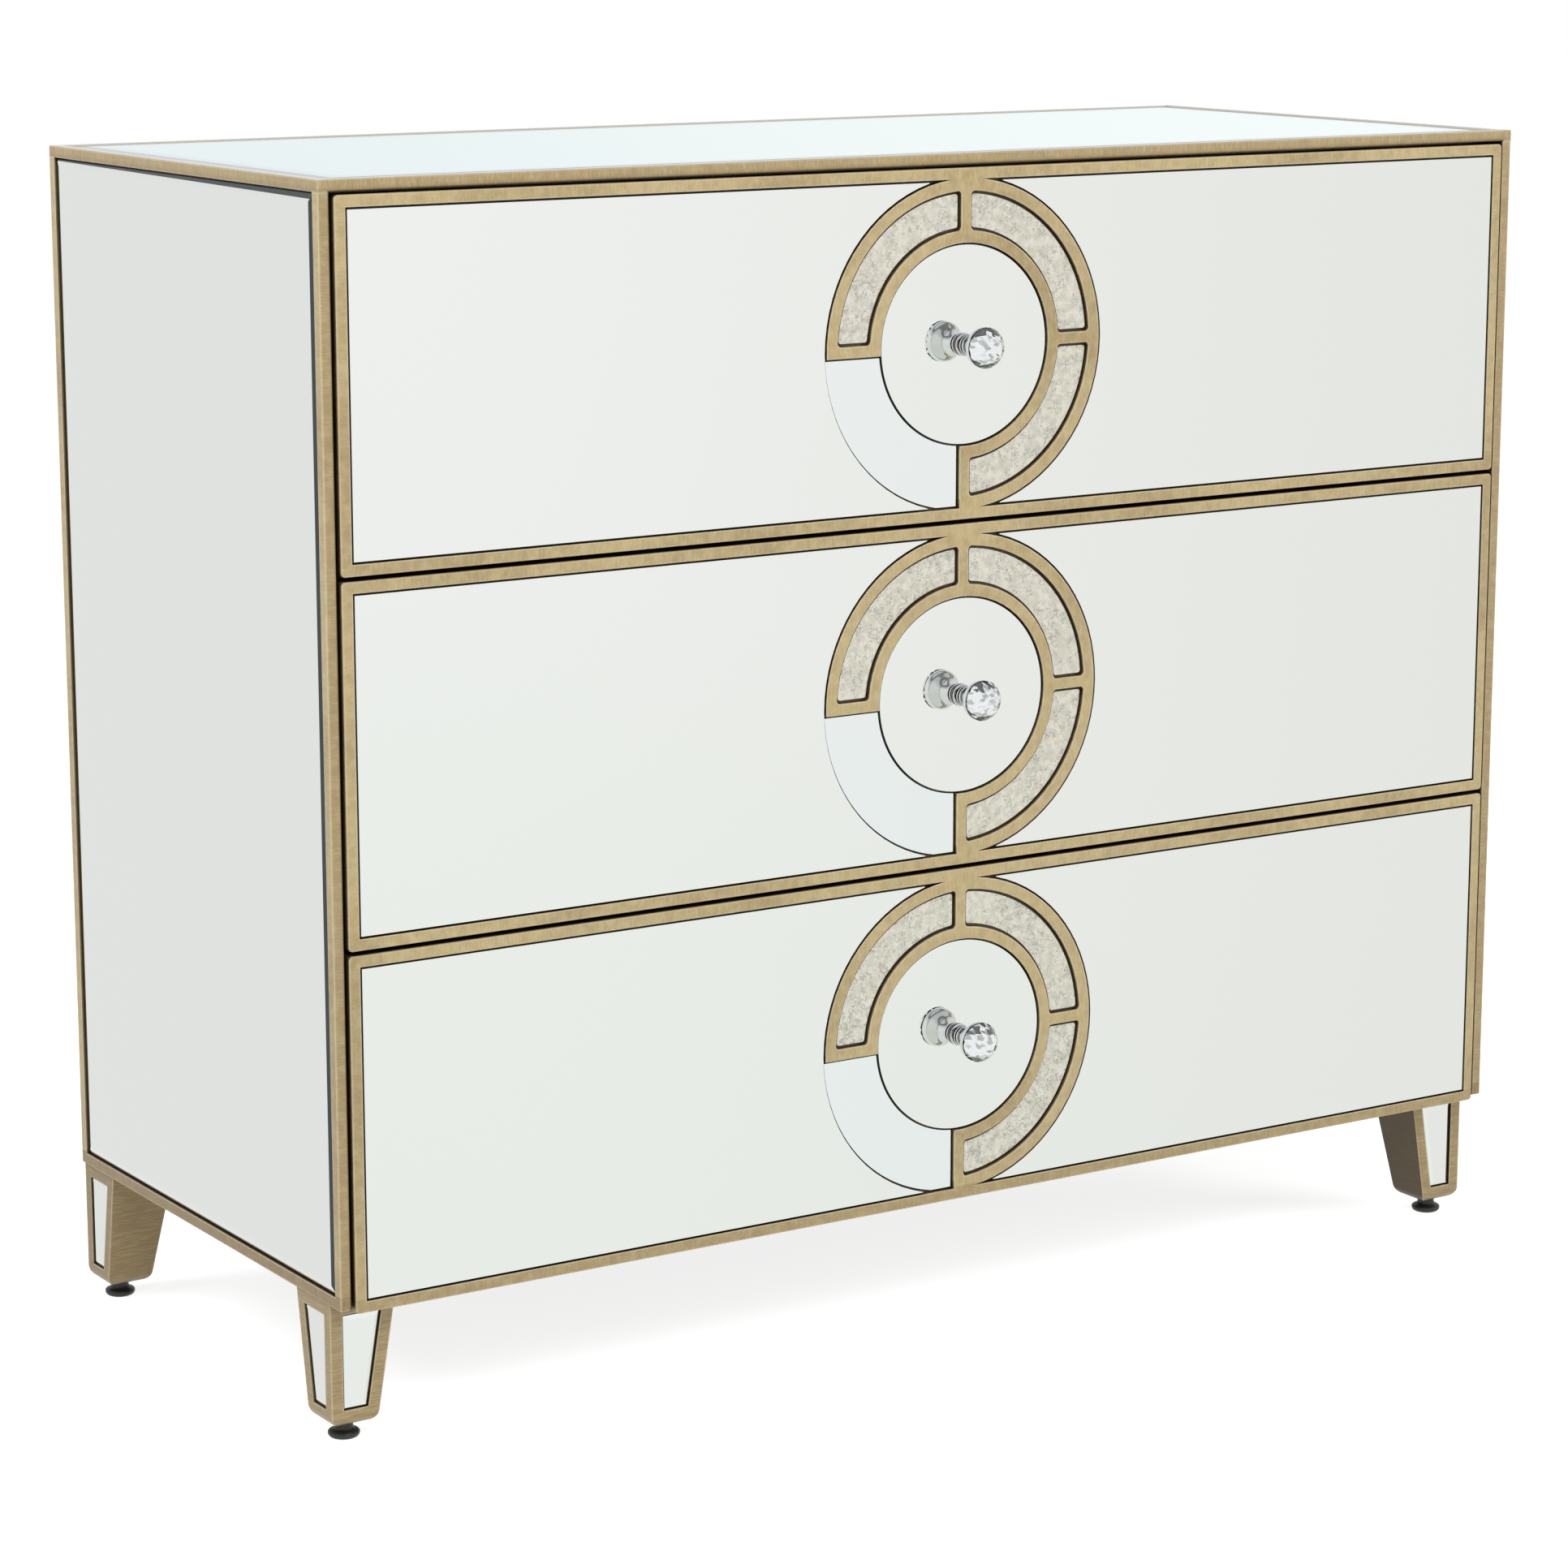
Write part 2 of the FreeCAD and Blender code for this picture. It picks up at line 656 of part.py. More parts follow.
def divider_rail(label, number):
    """Rail between the sides, behind the gap under a drawer front."""
    inner = f"({HALF_WIDTH} - panel_thickness)"
    body = new_body(label, at=("0", f"{LIP_Y} + {REBATE}", rail_z(number)))
    board = sketch_on(body, "board")
    rectangle(board, f"-{inner}", "0", inner, "rail_depth")
    slab = pad(body, board, "panel_thickness")
    front = measure("edge_round")
    rounded(body, slab, "edge_round", lambda box: box.YMax < front and box.XLength > front)
    dowel_holes(body, rail_dowel_places("panel_thickness / 2"), inner)
    return body


# Legs and feet

def leg_width(depth):
    """Width of a tapered leg at a depth below its top."""
    return f"(leg_top - (leg_top - leg_toe) * ({depth}) / leg_height)"


def leg_glass_outline(facing, inset):
    """Corners of a leg's mirror face; facing is the sign of the way from the outer corner inwards."""
    near = f"(leg_border + {inset})"
    top = f"(leg_glass_top + {inset})"
    toe = f"(leg_height - leg_glass_toe - {inset})"
    far_top = f"({leg_width(top)} - {near})"
    far_toe = f"({leg_width(toe)} - {near})"
    corners = ((near, top), (near, toe), (far_toe, toe), (far_top, top))
    return tuple((f"{facing} * {x}", f"-{depth}") for x, depth in corners)


def left_leg(label, corner_y, inward, with_front):
    """Leg whose two inner faces taper; its own origin is its outer corner, at the top."""
    body = new_body(label, at=(f"-{LEG_X}", corner_y, BODY_Z))
    top = sketch_on(body, "top")
    rectangle(top, "0", "0", "leg_top", f"{inward} * leg_top")
    toe = sketch_on(body, "toe", lift="-leg_height")
    rectangle(toe, "0", "0", "leg_toe", f"{inward} * leg_toe")
    shaft = loft(body, top, toe)
    rounded(body, shaft, "leg_toe_round", lies_at("-leg_height"))
    bolt = [("leg_bolt_inset", f"{inward} * leg_top / 2")]
    holes(body, "bolt", bolt, "leg_bolt_radius + thread_gap", "leg_bolt_grip + overrun")
    stem = [("leg_toe / 2", f"{inward} * leg_toe / 2")]
    stem_depth = "foot_stem_length + foot_stem_clearance"
    holes(body, "stem", stem, "foot_stem_radius + foot_stem_gap", stem_depth, "-leg_height", up=True)
    side = sketch_on(body, "side", "YZ_Plane")
    polygon(side, leg_glass_outline(inward, "0"))
    pocket(body, side, LEG_POCKET, up=True)
    if with_front:
        front = sketch_on(body, "front", "XZ_Plane")
        polygon(front, leg_glass_outline(1, "0"))
        pocket(body, front, LEG_POCKET)
    return body


def leg_glass(label, facing, rotation, at):
    """Small bevelled mirror of a leg's face."""
    def outline(inset):
        return leg_glass_outline(facing, f"(leg_glass_gap + {inset})")
    return bevelled_glass(label, outline, "leg_glass_thickness", "leg_bevel", "leg_bevel_drop", rotation, at)


def legs():
    """Four legs and the mirrors let into them."""
    nodes = []
    rows = (("front", LEG_FRONT_Y, 1, True), ("back", BACK_Y, -1, False))
    for name, corner_y, inward, with_front in rows:
        left = left_leg(f"{name}_left_leg", corner_y, inward, with_front)
        nodes += [left, mirrored(f"{name}_right_leg", left)]
        seat = f"-{LEG_X} + {LEG_POCKET}"
        glass = [leg_glass(f"{name}_leg_side_glass", -inward, LEFT, (seat, corner_y, BODY_Z))]
        if with_front:
            seat = f"{corner_y} + {LEG_POCKET}"
            glass.append(leg_glass(f"{name}_leg_front_glass", 1, FRONT, (f"-{LEG_X}", seat, BODY_Z)))
        members = [half for piece in glass for half in (piece, mirrored(f"{piece.Name}_mirrored", piece))]
        nodes.append(group(f"{name}_leg_mirrors", members))
    return nodes


def feet():
    """Levelling feet with their stems up inside the legs."""
    neck = "(foot_height - foot_gap)"
    flare = [(f"{radius} * foot_radius", f"{height} * foot_height") for radius, height in FOOT_SHARES]
    neck_radius = f"{FOOT_SHARES[-1][0]} * foot_radius"
    stem_top = "(foot_height + foot_stem_length)"
    outline = (
        [("0", "0")] + flare
        + [(neck_radius, neck), ("foot_stem_radius", neck), ("foot_stem_radius", stem_top), ("0", stem_top)])
    nodes = []
    for row_name, y in (("front", f"{LEG_FRONT_Y} + leg_toe / 2"), ("back", f"{BACK_Y} - leg_toe / 2")):
        for side_name, sign in (("left", "-"), ("right", "")):
            x = f"{sign}({LEG_X} - leg_toe / 2)"
            nodes.append(turned(f"{row_name}_{side_name}_foot", outline, UPRIGHT, (x, y, "0")))
    return nodes


# Drawers

def front_z(number):
    """Height of the lower edge of a drawer front, counted from the lowest."""
    return f"({BODY_Z} - front_drop + {number} * ({FRONT_HEIGHT} + front_gap))"


def front_screw_places():
    """Where the screws of a drawer front go, from the ring's centre."""
    x = f"({BOX_INNER_X} - screw_inset)"
    above = f"({BOX_LIFT} + {BOX_HEIGHT} - {FRONT_HEIGHT} / 2 - screw_inset)"
    below = f"({BOX_LIFT} + {END_LIFT} - {FRONT_HEIGHT} / 2 + screw_inset)"
    return [(f"{sign}{x}", z) for sign in ("-", "") for z in (below, above)]


def drawer_front(label, centre_z):
    """Routed board: border, ring of fretwork with three windows, and floor for the mirrors."""
    body = new_body(label, FRONT, ("0", BOX_Y, centre_z))
    board = sketch_on(body, "board")
    half_width = f"{FRONT_WIDTH} / 2"
    half_height = f"{FRONT_HEIGHT} / 2"
    rectangle(board, f"-{half_width}", f"-{half_height}", half_width, half_height)
    slab = pad(body, board, "front_thickness")
    cornered = rounded(body, slab, "front_corner", is_upright)
    rounded(body, cornered, "edge_round", lies_at("front_thickness"))
    field = sketch_on(body, "field", lift="front_thickness")
    rectangle(field, f"-{FIELD_X}", f"-{FIELD_Z}", FIELD_X, FIELD_Z)
    pocket(body, field, POCKET)
    ring = sketch_on(body, "ring", lift=f"front_thickness - {POCKET}")
    circle(ring, RING_OUTER)
    circle(ring, RING_INNER)
    pad(body, ring, POCKET)
    quarter = sketch_on(body, "quarter", lift="front_thickness")
    rectangle(quarter, f"-({RING_OUTER} + overrun)", f"-{FIELD_Z}", f"-{SPOKE}", f"-{SPOKE}")
    pocket(body, quarter, POCKET)
    holes(body, "knob", [("0", "0")], "screw_radius + hole_gap", "front_thickness", up=True)
    holes(body, "pilots", front_screw_places(), "screw_radius + thread_gap", "screw_grip + overrun", up=True)
    window = sketch_on(body, "window", lift="front_thickness")
    ring_sector(window, WINDOW_INNER, WINDOW_OUTER, SPOKE, "window_corner")
    opening = pocket(body, window, POCKET)
    windows = body.newObject("PartDesign::PolarPattern", f"{label}_windows")
    spread_over_half_turn(windows, opening, body)
    return body


def spread_over_half_turn(pattern, original, body):
    """Repeat a quarter-ring feature in the three quarters from lower right to upper left."""
    pattern.Originals = [original]
    pattern.Axis = (origin_feature(body, "Z_Axis"), [""])
    pattern.Angle = 180
    pattern.Occurrences = 3
    body.Tip = pattern


def glass_seat(centre_z):
    """Where the glass of a drawer front lies: the ring's centre on the routed floor."""
    return ("0", f"{FACE_Y} + {POCKET}", centre_z)


def left_pane(label, centre_z):
    """Large plain pane, cut round the ring, with blunt tips."""
    body = new_body(label, FRONT, glass_seat(centre_z))
    board = sketch_on(body, "board")
    half_height = f"({FIELD_Z} - glass_gap)"
    rectangle(board, f"-{FIELD_X} + glass_gap", f"-{half_height}", "-pane_tip", half_height)
    pad(body, board, "glass_thickness")
    cut = f"{RING_OUTER} + glass_gap"
    holes(body, "ring", [("0", "0")], cut, "glass_thickness + overrun", lift="glass_thickness")
    return body


def ring_mirrors(prefix, centre_z):
    """Centre disc and the plain quarter below its left."""
    disc = new_body(f"{prefix}_disc", FRONT, glass_seat(centre_z))
    face = sketch_on(disc, "face")
    circle(face, f"{RING_INNER} - glass_gap")
    pad(disc, face, "disc_thickness")
    depth = "disc_thickness + overrun"
    holes(disc, "knob", [("0", "0")], "screw_radius + hole_gap", depth, lift="disc_thickness")
    quarter = new_body(f"{prefix}_quarter", FRONT, glass_seat(centre_z))
    sector = sketch_on(quarter, "sector", turn=-90)
    ring_sector(sector, RING_INNER, RING_OUTER, f"({SPOKE} + glass_gap)", "quarter_corner")
    pad(quarter, sector, "quarter_thickness")
    trim = sketch_on(quarter, "trim", lift="quarter_thickness")
    rectangle(trim, f"-{RING_OUTER}", f"-{RING_OUTER} - overrun", "0", f"-({FIELD_Z} - glass_gap)")
    pocket(quarter, trim, "quarter_thickness + overrun")
    return group(f"{prefix}_ring_mirrors", [disc, quarter])


def antique_segments(label, centre_z):
    """Three antiqued mirrors behind the windows of the ring."""
    body = new_body(label, FRONT, glass_seat(centre_z))
    body.AllowCompound = True
    sector = sketch_on(body, "sector")
    land = f"({SPOKE} + antique_gap)"
    inner, outer = f"{WINDOW_INNER} + antique_gap", f"{WINDOW_OUTER} - antique_gap"
    ring_sector(sector, inner, outer, land, "glass_corner")
    first = pad(body, sector, "antique_thickness")
    segments = body.newObject("PartDesign::PolarPattern", f"{label}_pattern")
    spread_over_half_turn(segments, first, body)
    return body


def knob_base(label, centre_z):
    """Turned base that the crystal sits in, bored for the knob's screw."""
    outline = [
        (f"{radius} * knob_base_radius", f"{height} * stem_length") for radius, height in KNOB_BASE_SHARES]
    bore = "(screw_radius + thread_gap)"
    depth = "(knob_thread_depth + thread_gap)"
    outline += [("0", "stem_length"), ("0", depth), (bore, depth), (bore, "0")]
    return turned(label, outline, FRONT, ("0", f"{FACE_Y} + {DISC_RECESS}", centre_z))


def knob_crystal(label, centre_z):
    """Faceted ball: straight facets between regular polygons."""
    levels = []
    for number, (radius, height) in enumerate(CRYSTAL_SHARES):
        level = doc.addObject("Part::RegularPolygon", f"{label}_level_{number}")
        level.Polygon = CRYSTAL_SIDES
        bind(level, "Circumradius", f"{radius} * crystal_radius")
        bind(level, "Placement.Base.z", f"{height} * crystal_length")
        levels.append(level)
    ball = doc.addObject("Part::Loft", label)
    ball.Label = label
    ball.Sections = levels
    ball.Solid = True
    ball.Ruled = True
    ball.Placement = Placement(Vector(), FRONT)
    bind(ball, "Placement.Base.y", f"{FACE_Y} + {DISC_RECESS} - stem_length")
    bind(ball, "Placement.Base.z", centre_z)
    return ball


def drawer_screws(prefix, centre_z):
    """The knob's screw and the four that hold the front, driven from inside the box."""
    seat = f"{BOX_Y} + box_thickness"
    stack = f"(box_thickness + front_thickness - {DISC_RECESS})"
    members = [screw(
        f"{prefix}_knob_screw", "screw_head_radius", "screw_head_height", "screw_radius",
        f"{stack} + knob_thread_depth", FRONT, ("0", seat, centre_z))]
    for number, (x, z) in enumerate(front_screw_places(), start=1):
        members.append(screw(
            f"{prefix}_front_screw_{number}", "screw_head_radius", "screw_head_height", "screw_radius",
            "box_thickness + screw_grip", FRONT, (x, seat, f"{centre_z} + {z}")))
    return group(f"{prefix}_drawer_screws", members)


def box_sides(prefix, box_z):
    """Two side boards, grooved for the bottom."""
    body = new_body(f"{prefix}_box_side", FRONT, ("0", f"{BOX_Y} + {BOX_DEPTH}", box_z))
    section = sketch_on(body, "section")
    outer = f"-{BOX_WIDTH} / 2"
    inner = f"-{BOX_INNER_X}"
    groove = f"{inner} - groove_depth"
    groove_top = f"{END_LIFT} + groove_gap"
    polygon(section, (
        (outer, "0"), (inner, "0"), (inner, "box_bottom_lift"), (groove, "box_bottom_lift"),
        (groove, groove_top), (inner, groove_top), (inner, BOX_HEIGHT), (outer, BOX_HEIGHT),
    ))
    pad(body, section, BOX_DEPTH)
    return pair(f"{prefix}_box_sides", body)


def box_end(label, inner_y, box_z):
    """Plain end board that stands on the box's bottom."""
    body = new_body(label, FRONT, ("0", inner_y, f"{box_z} + {END_LIFT}"))
    board = sketch_on(body, "board")
    rectangle(board, f"-{BOX_INNER_X}", "0", BOX_INNER_X, END_HEIGHT)
    pad(body, board, "box_thickness")
    return body


def box_ends(prefix, box_z):
    """Front and back ends; the front one is bored for the screws of the front and the knob."""
    front = box_end(f"{prefix}_box_front", f"{BOX_Y} + box_thickness", box_z)
    centre = f"({FRONT_HEIGHT} / 2 - {BOX_LIFT} - {END_LIFT})"
    places = [("0", centre)] + [(x, f"{centre} + {z}") for x, z in front_screw_places()]
    holes(front, "heads", places, "screw_head_radius + hole_gap", "screw_head_height", up=True)
    holes(front, "shanks", places, "screw_radius + hole_gap", "box_thickness + overrun", up=True)
    back = box_end(f"{prefix}_box_back", f"{BOX_Y} + {BOX_DEPTH}", box_z)
    return group(f"{prefix}_box_ends", [front, back])


def box_bottom(label, box_z):
    """Thin bottom that slides into the grooves of the sides."""
    body = new_body(label, at=("0", BOX_Y, f"{box_z} + box_bottom_lift"))
    board = sketch_on(body, "board")
    half = f"({BOX_INNER_X} + groove_depth - groove_gap)"
    rectangle(board, f"-{half}", "0", half, BOX_DEPTH)
    pad(body, board, "box_bottom_thickness")
    return body


def runner(label, step, open_inwards, drawer_z):
    """Left channel of a telescopic runner, bent from sheet; step counts members from the cabinet inwards."""
    place = (
        f"-{HALF_WIDTH} + panel_thickness + {step} * {RUNNER_STEP}", f"{RUNNER_Y} + {RUNNER_LENGTH}",
        f"{drawer_z} + {RUNNER_LIFT} + {step} * {RUNNER_STEP}",
    )
    body = new_body(label, FRONT, place)
    section = sketch_on(body, "section")
    width = f"(runner_width - 2 * {RUNNER_STEP})"
    height = f"(runner_height - 2 * {step} * {RUNNER_STEP})"
    web, tip = ("0", width) if open_inwards else (width, "0")
    inside = "runner_wall" if open_inwards else f"{width} - runner_wall"
    polygon(section, (
        (web, "0"), (tip, "0"), (tip, "runner_wall"), (inside, "runner_wall"),
        (inside, f"{height} - runner_wall"), (tip, f"{height} - runner_wall"), (tip, height), (web, height),
    ))
    channel = pad(body, section, RUNNER_LENGTH)
    bent = rounded(body, channel, "runner_bend", stands_at(web))
    rounded(body, bent, "runner_bend - runner_wall", stands_at(inside))
    return body


def drawer(number, prefix):
    """All the pieces of one drawer."""
    z = front_z(number)
    centre_z = f"({z} + {FRONT_HEIGHT} / 2)"
    box_z = f"({z} + {BOX_LIFT})"
    return [
        drawer_front(f"{prefix}_drawer_front", centre_z),
        pair(f"{prefix}_drawer_panes", left_pane(f"{prefix}_pane", centre_z)),
        ring_mirrors(prefix, centre_z),
        antique_segments(f"{prefix}_antique_segments", centre_z),
        knob_base(f"{prefix}_knob_base", centre_z),
        knob_crystal(f"{prefix}_knob_crystal", centre_z),
        drawer_screws(prefix, centre_z),
        box_sides(prefix, box_z),
        box_ends(prefix, box_z),
        box_bottom(f"{prefix}_box_bottom", box_z),
        pair(f"{prefix}_intermediate_runners", runner(f"{prefix}_intermediate_runner", 1, True, z)),
        pair(f"{prefix}_drawer_runners", runner(f"{prefix}_drawer_runner", 2, False, z)),
    ]


def cabinet_runners():
    """The runner members that are screwed to the side panels."""
    members = []
    for number, prefix in enumerate(DRAWERS):
        left = runner(f"{prefix}_cabinet_runner", 0, True, front_z(number))
        members += [left, mirrored(f"{left.Name}_mirrored", left)]
    return group("cabinet_runners", members)


# Assembly

def chest():
    """Every node of the chest."""
    left_panel = left_side_panel()
    left_mirror = left_side_mirror()
    nodes = [
        top_panel(), top_mirror(),
        left_panel, mirrored("right_side_panel", left_panel),
        left_mirror, mirrored("right_side_mirror", left_mirror),
        back_panel(), back_screws(), bottom_panel(), leg_bolts(), carcass_dowels(),
        divider_rail("lower_rail", 1), divider_rail("upper_rail", 2),
        cabinet_runners(),
    ]
    nodes += legs()
    nodes += feet()
    for number, prefix in enumerate(DRAWERS):
        nodes += drawer(number, prefix)
    return nodes


def check(nodes):
    """Stop if an object failed, a cut took nothing away, or a node's shape is not sound."""
    for item in doc.Objects:
        if {"Invalid", "Error"} & set(item.State):
            raise RuntimeError(f"{item.Name} failed: {item.State}")
        if item.TypeId == "PartDesign::Pocket":
            if item.Shape.Volume > item.BaseFeature.Shape.Volume * (1 - TOLERANCE_SHARE ** 2):
                raise RuntimeError(f"{item.Name} cuts nothing")
    for node in nodes:
        if node.Shape.isNull() or not node.Shape.isValid() or not node.Shape.Solids:
            raise RuntimeError(f"{node.Label} has no sound shape")


nodes = chest()
doc.recompute()
check(nodes)
os.makedirs("parts", exist_ok=True)
for node in nodes:
    node.Shape.exportStep(f"parts/{node.Label}.step")
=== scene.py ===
"""Looks of a mirrored chest of three drawers, laid over its packed construction.

Metres in the chest's own frame: +X to its right, the drawers open towards -Y, +Z up, origin on the floor.
"""
import math

import bmesh
import bpy
from bpy.props import FloatProperty, FloatVectorProperty, IntProperty, PointerProperty
from bpy.types import Operator, Panel, PropertyGroup
from mathutils import Matrix, Vector


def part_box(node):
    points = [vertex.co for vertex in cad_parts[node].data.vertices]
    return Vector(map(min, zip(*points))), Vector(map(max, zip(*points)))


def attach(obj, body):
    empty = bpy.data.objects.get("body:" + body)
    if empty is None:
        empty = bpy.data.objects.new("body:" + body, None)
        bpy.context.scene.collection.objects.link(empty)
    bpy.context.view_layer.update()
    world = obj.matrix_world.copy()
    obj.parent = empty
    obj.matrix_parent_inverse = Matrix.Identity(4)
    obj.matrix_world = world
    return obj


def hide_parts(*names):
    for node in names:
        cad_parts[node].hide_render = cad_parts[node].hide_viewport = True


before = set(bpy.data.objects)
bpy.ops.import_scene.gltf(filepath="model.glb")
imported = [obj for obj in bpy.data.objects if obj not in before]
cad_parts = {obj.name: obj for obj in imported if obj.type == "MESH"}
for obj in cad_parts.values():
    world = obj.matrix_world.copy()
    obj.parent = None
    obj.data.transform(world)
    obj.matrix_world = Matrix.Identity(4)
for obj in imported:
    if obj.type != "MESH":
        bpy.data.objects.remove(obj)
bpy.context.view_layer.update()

bl_info = {
    "name": "Mirrored Chest",
    "version": (1, 0, 0),
    "blender": (4, 5, 0),
    "location": "View3D > Sidebar > Chest",
    "description": "Dresses a mirrored chest of drawers: brushed paint, mirrors, crystal knobs and a studio",
    "category": "Object",
}

# Names and places of the chest

DRAWERS = ("lower", "middle", "upper")
SIDES = ("left", "right")
CORNERS = [f"{row}_{side}" for row in ("front", "back") for side in SIDES]
PANE_HALF_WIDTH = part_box("lower_drawer_panes")[1].x
LOWEST_PANE_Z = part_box("lower_drawer_panes")[0].z
SIDE_GLASS_Y = [corner.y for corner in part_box("left_side_mirror")]
SIDE_GLASS_Z = [corner.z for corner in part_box("left_side_mirror")]
TOP_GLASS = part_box("top_mirror")
TOP_RIM_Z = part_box("top_panel")[1].z
HALF_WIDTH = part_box("right_side_panel")[1].x
CRYSTAL_SEAT_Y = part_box("lower_knob_crystal")[1].y

# Sizes that tell one part of a node from another

BAR_WIDTH = 0.008
RING_WIDTH = 0.035
DISC_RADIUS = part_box("lower_antique_segments")[1].x - RING_WIDTH
WINDOW_WIDTH = 0.0275
WINDOW_RIM = 0.004
WINDOW_ROUNDING = 0.0009
TOP_WALL_REACH = 0.004
# TOP_RIM_FADE: where the painted shade along the top rim's lower edge fades in
TOP_RIM_FADE = (0.0035, 0.008)
CUP_DEPTH = 0.0033

# How much of a face's normal lies along an axis when the face looks that way, looks squarely that way,
# lies dead level, or leans that way on a bevel; and a leg's place times its normal on an inner face

LOOKING = 0.5
SQUARELY = 0.9
DEAD_LEVEL = 0.998
BEVEL_LEAN = 0.05
LEG_INWARDS = 0.2


def on_drawers(kind):
    """The nodes of one kind on the three drawers."""
    return [f"{drawer}_{kind}" for drawer in DRAWERS]


def ring_centre(drawer):
    """The middle of one drawer's ring."""
    low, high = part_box(f"{drawer}_antique_segments")
    return (low + high) / 2


# Settings

def colour(name, description, default):
    """A colour setting."""
    return FloatVectorProperty(
        name=name, description=description, default=default, size=3, min=0, max=1, subtype="COLOR")


def length(name, description, default):
    """A length setting in metres."""
    return FloatProperty(
        name=name, description=description, default=default, min=0, unit="LENGTH", precision=5)


def angle(name, description, default):
    """An angle setting, given in degrees."""
    return FloatProperty(name=name, description=description, default=math.radians(default), unit="ROTATION")


def share(name, description, default):
    """A setting between 0 and 1."""
    return FloatProperty(name=name, description=description, default=default, min=0, max=1, subtype="FACTOR")


def power(name, description, default):
    """A lamp's power in watts."""
    return FloatProperty(name=name, description=description, default=default, min=0, unit="POWER")


class PaintSettings(PropertyGroup):
    """Champagne-gold paint of the bars and legs."""
    light: colour("Light", "Paint on the crest of a brush stroke", (0.54, 0.435, 0.23))
    dark: colour("Dark", "Paint in the groove of a brush stroke", (0.42, 0.32, 0.157))
    # The next colour serves both the paint's warmer patches and painted shade on the rim, lips, legs and
    # lowest bars
    brown_and_shade: colour("Brown", "Warmer patches where the paint is thin", (0.26, 0.18, 0.083))
    # The next colour is a painted highlight along the rounded edges
    lightened: colour("Worn", "Paint rubbed bright along the edges", (0.80, 0.71, 0.52))
    # The next colour is painted light on the top's upper faces, as lit from above, not paint rubbed pale by
    # use
    pale: colour("Pale", "Paint that use has rubbed pale on the upper faces", (0.7, 0.68, 0.62))
    # shade is painted shade, laid in narrow gaps and recesses by how closed in they lie; gap_reach sets their
    # width
    shade: colour("Shade", "Dark stain left in the narrow gaps", (0.026, 0.016, 0.005))
    # edge_radius rounds the edges' shading and sets how wide their painted highlight is
    edge_radius: length("Edge Radius", "How far the rubbed edges reach", 0.0018)
    # roll sets how wide the painted shade is where the lips meet the gaps beside the drawers
    roll: length("Roll", "How far the lips beside the drawers roll into the gap", 0.0018)
    gap_reach: length("Gap Reach", "Width of the gaps that stay dark", 0.008)
    stroke_width: length("Stroke Width", "Width of one bristle mark", 0.0009)
    stroke_length: length("Stroke Length", "Length of one bristle mark", 0.006)
    stroke_depth: length("Stroke Depth", "Depth of one bristle mark", 0.00003)
    mottle_size: length("Mottle Size", "Size of the soft mottles between the strokes", 0.008)
    patch_size: length("Patch Size", "Size of the warmer patches", 0.11)
    metal: share("Metal", "How much of the paint is metal flake", 0.4)
    roughness: share("Roughness", "Roughness of the dry paint", 0.36)
    lacquer: share("Lacquer", "Thin clear coat over the paint", 0.25)


class GlassSettings(PropertyGroup):
    """Mirrors of the fronts, sides, top and legs."""
    silver: colour("Silver", "Clear silvered glass", (0.855, 0.871, 0.847))
    top_silver: colour("Top Silver", "Silvered glass of the top", (0.85, 0.925, 0.92))
    quarter_silver: colour("Quarter Silver", "Thin glass of the plain quarter", (0.85, 0.885, 0.885))
    # The next colour and the dark line set below it are painted reflection on the side mirrors' bevels
    side_bevel_reflection: colour("Side Bevel", "Front and upper bevels of the side mirrors", (0.075, 0.085, 0.088))
    line_width: length("Line Width", "Dark line atop the side mirrors, at their front", 0.0034)
    line_taper: length("Line Taper", "How much narrower the dark line is at the back", 0.0025)
    # The next two colours and the border width are painted reflection on the top mirror's bevels and border
    top_bevel_reflection: colour("Top Bevel", "Bevels of the top mirror", (0.46, 0.465, 0.54))
    top_border_reflection: colour("Top Border", "Silver beside the bevels of the top mirror", (0.74, 0.77, 0.8))
    border: length("Border", "Width of the greyer border of the top mirror", 0.024)
    # edge: the glass's cut edge, its dark brown standing in for painted shade of the gap round the glass
    edge: colour("Edge", "Cut edge of the glass, with the stain that it picks up", (0.11, 0.093, 0.062))
    ring_edge: colour("Ring Edge", "Cut edge of the glass in the rings", (0.045, 0.055, 0.045))
    antique_cream: colour("Antique Cream", "Antiqued silver", (0.66, 0.63, 0.53))
    antique_white: colour("Antique White", "Bright patches of antiqued silver", (0.765, 0.74, 0.65))
    antique_film: colour("Antique Film", "Grey film over the antiqued silver", (0.57, 0.565, 0.51))
    antique_grey: colour("Antique Grey", "Specks and lines where the silver has gone", (0.29, 0.28, 0.25))
    speck_size: length("Speck Size", "Size of the specks of antiqued silver", 0.0016)


class KnobSettings(PropertyGroup):
    """Crystal knobs."""
    sides: IntProperty(
        name="Sides", description="Facets in each row of the crystal", default=16, min=6, max=24)
    refraction: FloatProperty(
        name="Refraction", description="Index of refraction of the crystal", default=1.56)
    clearness: share("Clearness", "How much of the light goes through the crystal", 1.0)
    # The next two colours are a painted reflection tint, by the way each facet faces
    clear_cool: colour("Clear Cool", "Crystal whose facets turn down and to the left", (0.965, 0.985, 0.99))
    clear_warm: colour("Clear Warm", "Crystal whose facets turn up and to the right", (1.0, 1.0, 0.985))
    chrome: colour("Chrome", "Plated base of the knob", (0.78, 0.79, 0.79))
    foil: colour("Foil", "Silvered back of the crystal", (0.88, 0.895, 0.895))
    # The next colour is painted shade in the turned grooves, laid by how closed in they lie; groove_reach
    # sets their width
    groove_shade: colour("Groove", "Dull plate in the turned grooves", (0.035, 0.035, 0.035))
    groove_reach: length("Groove Reach", "Width of the grooves that stay dull", 0.0035)


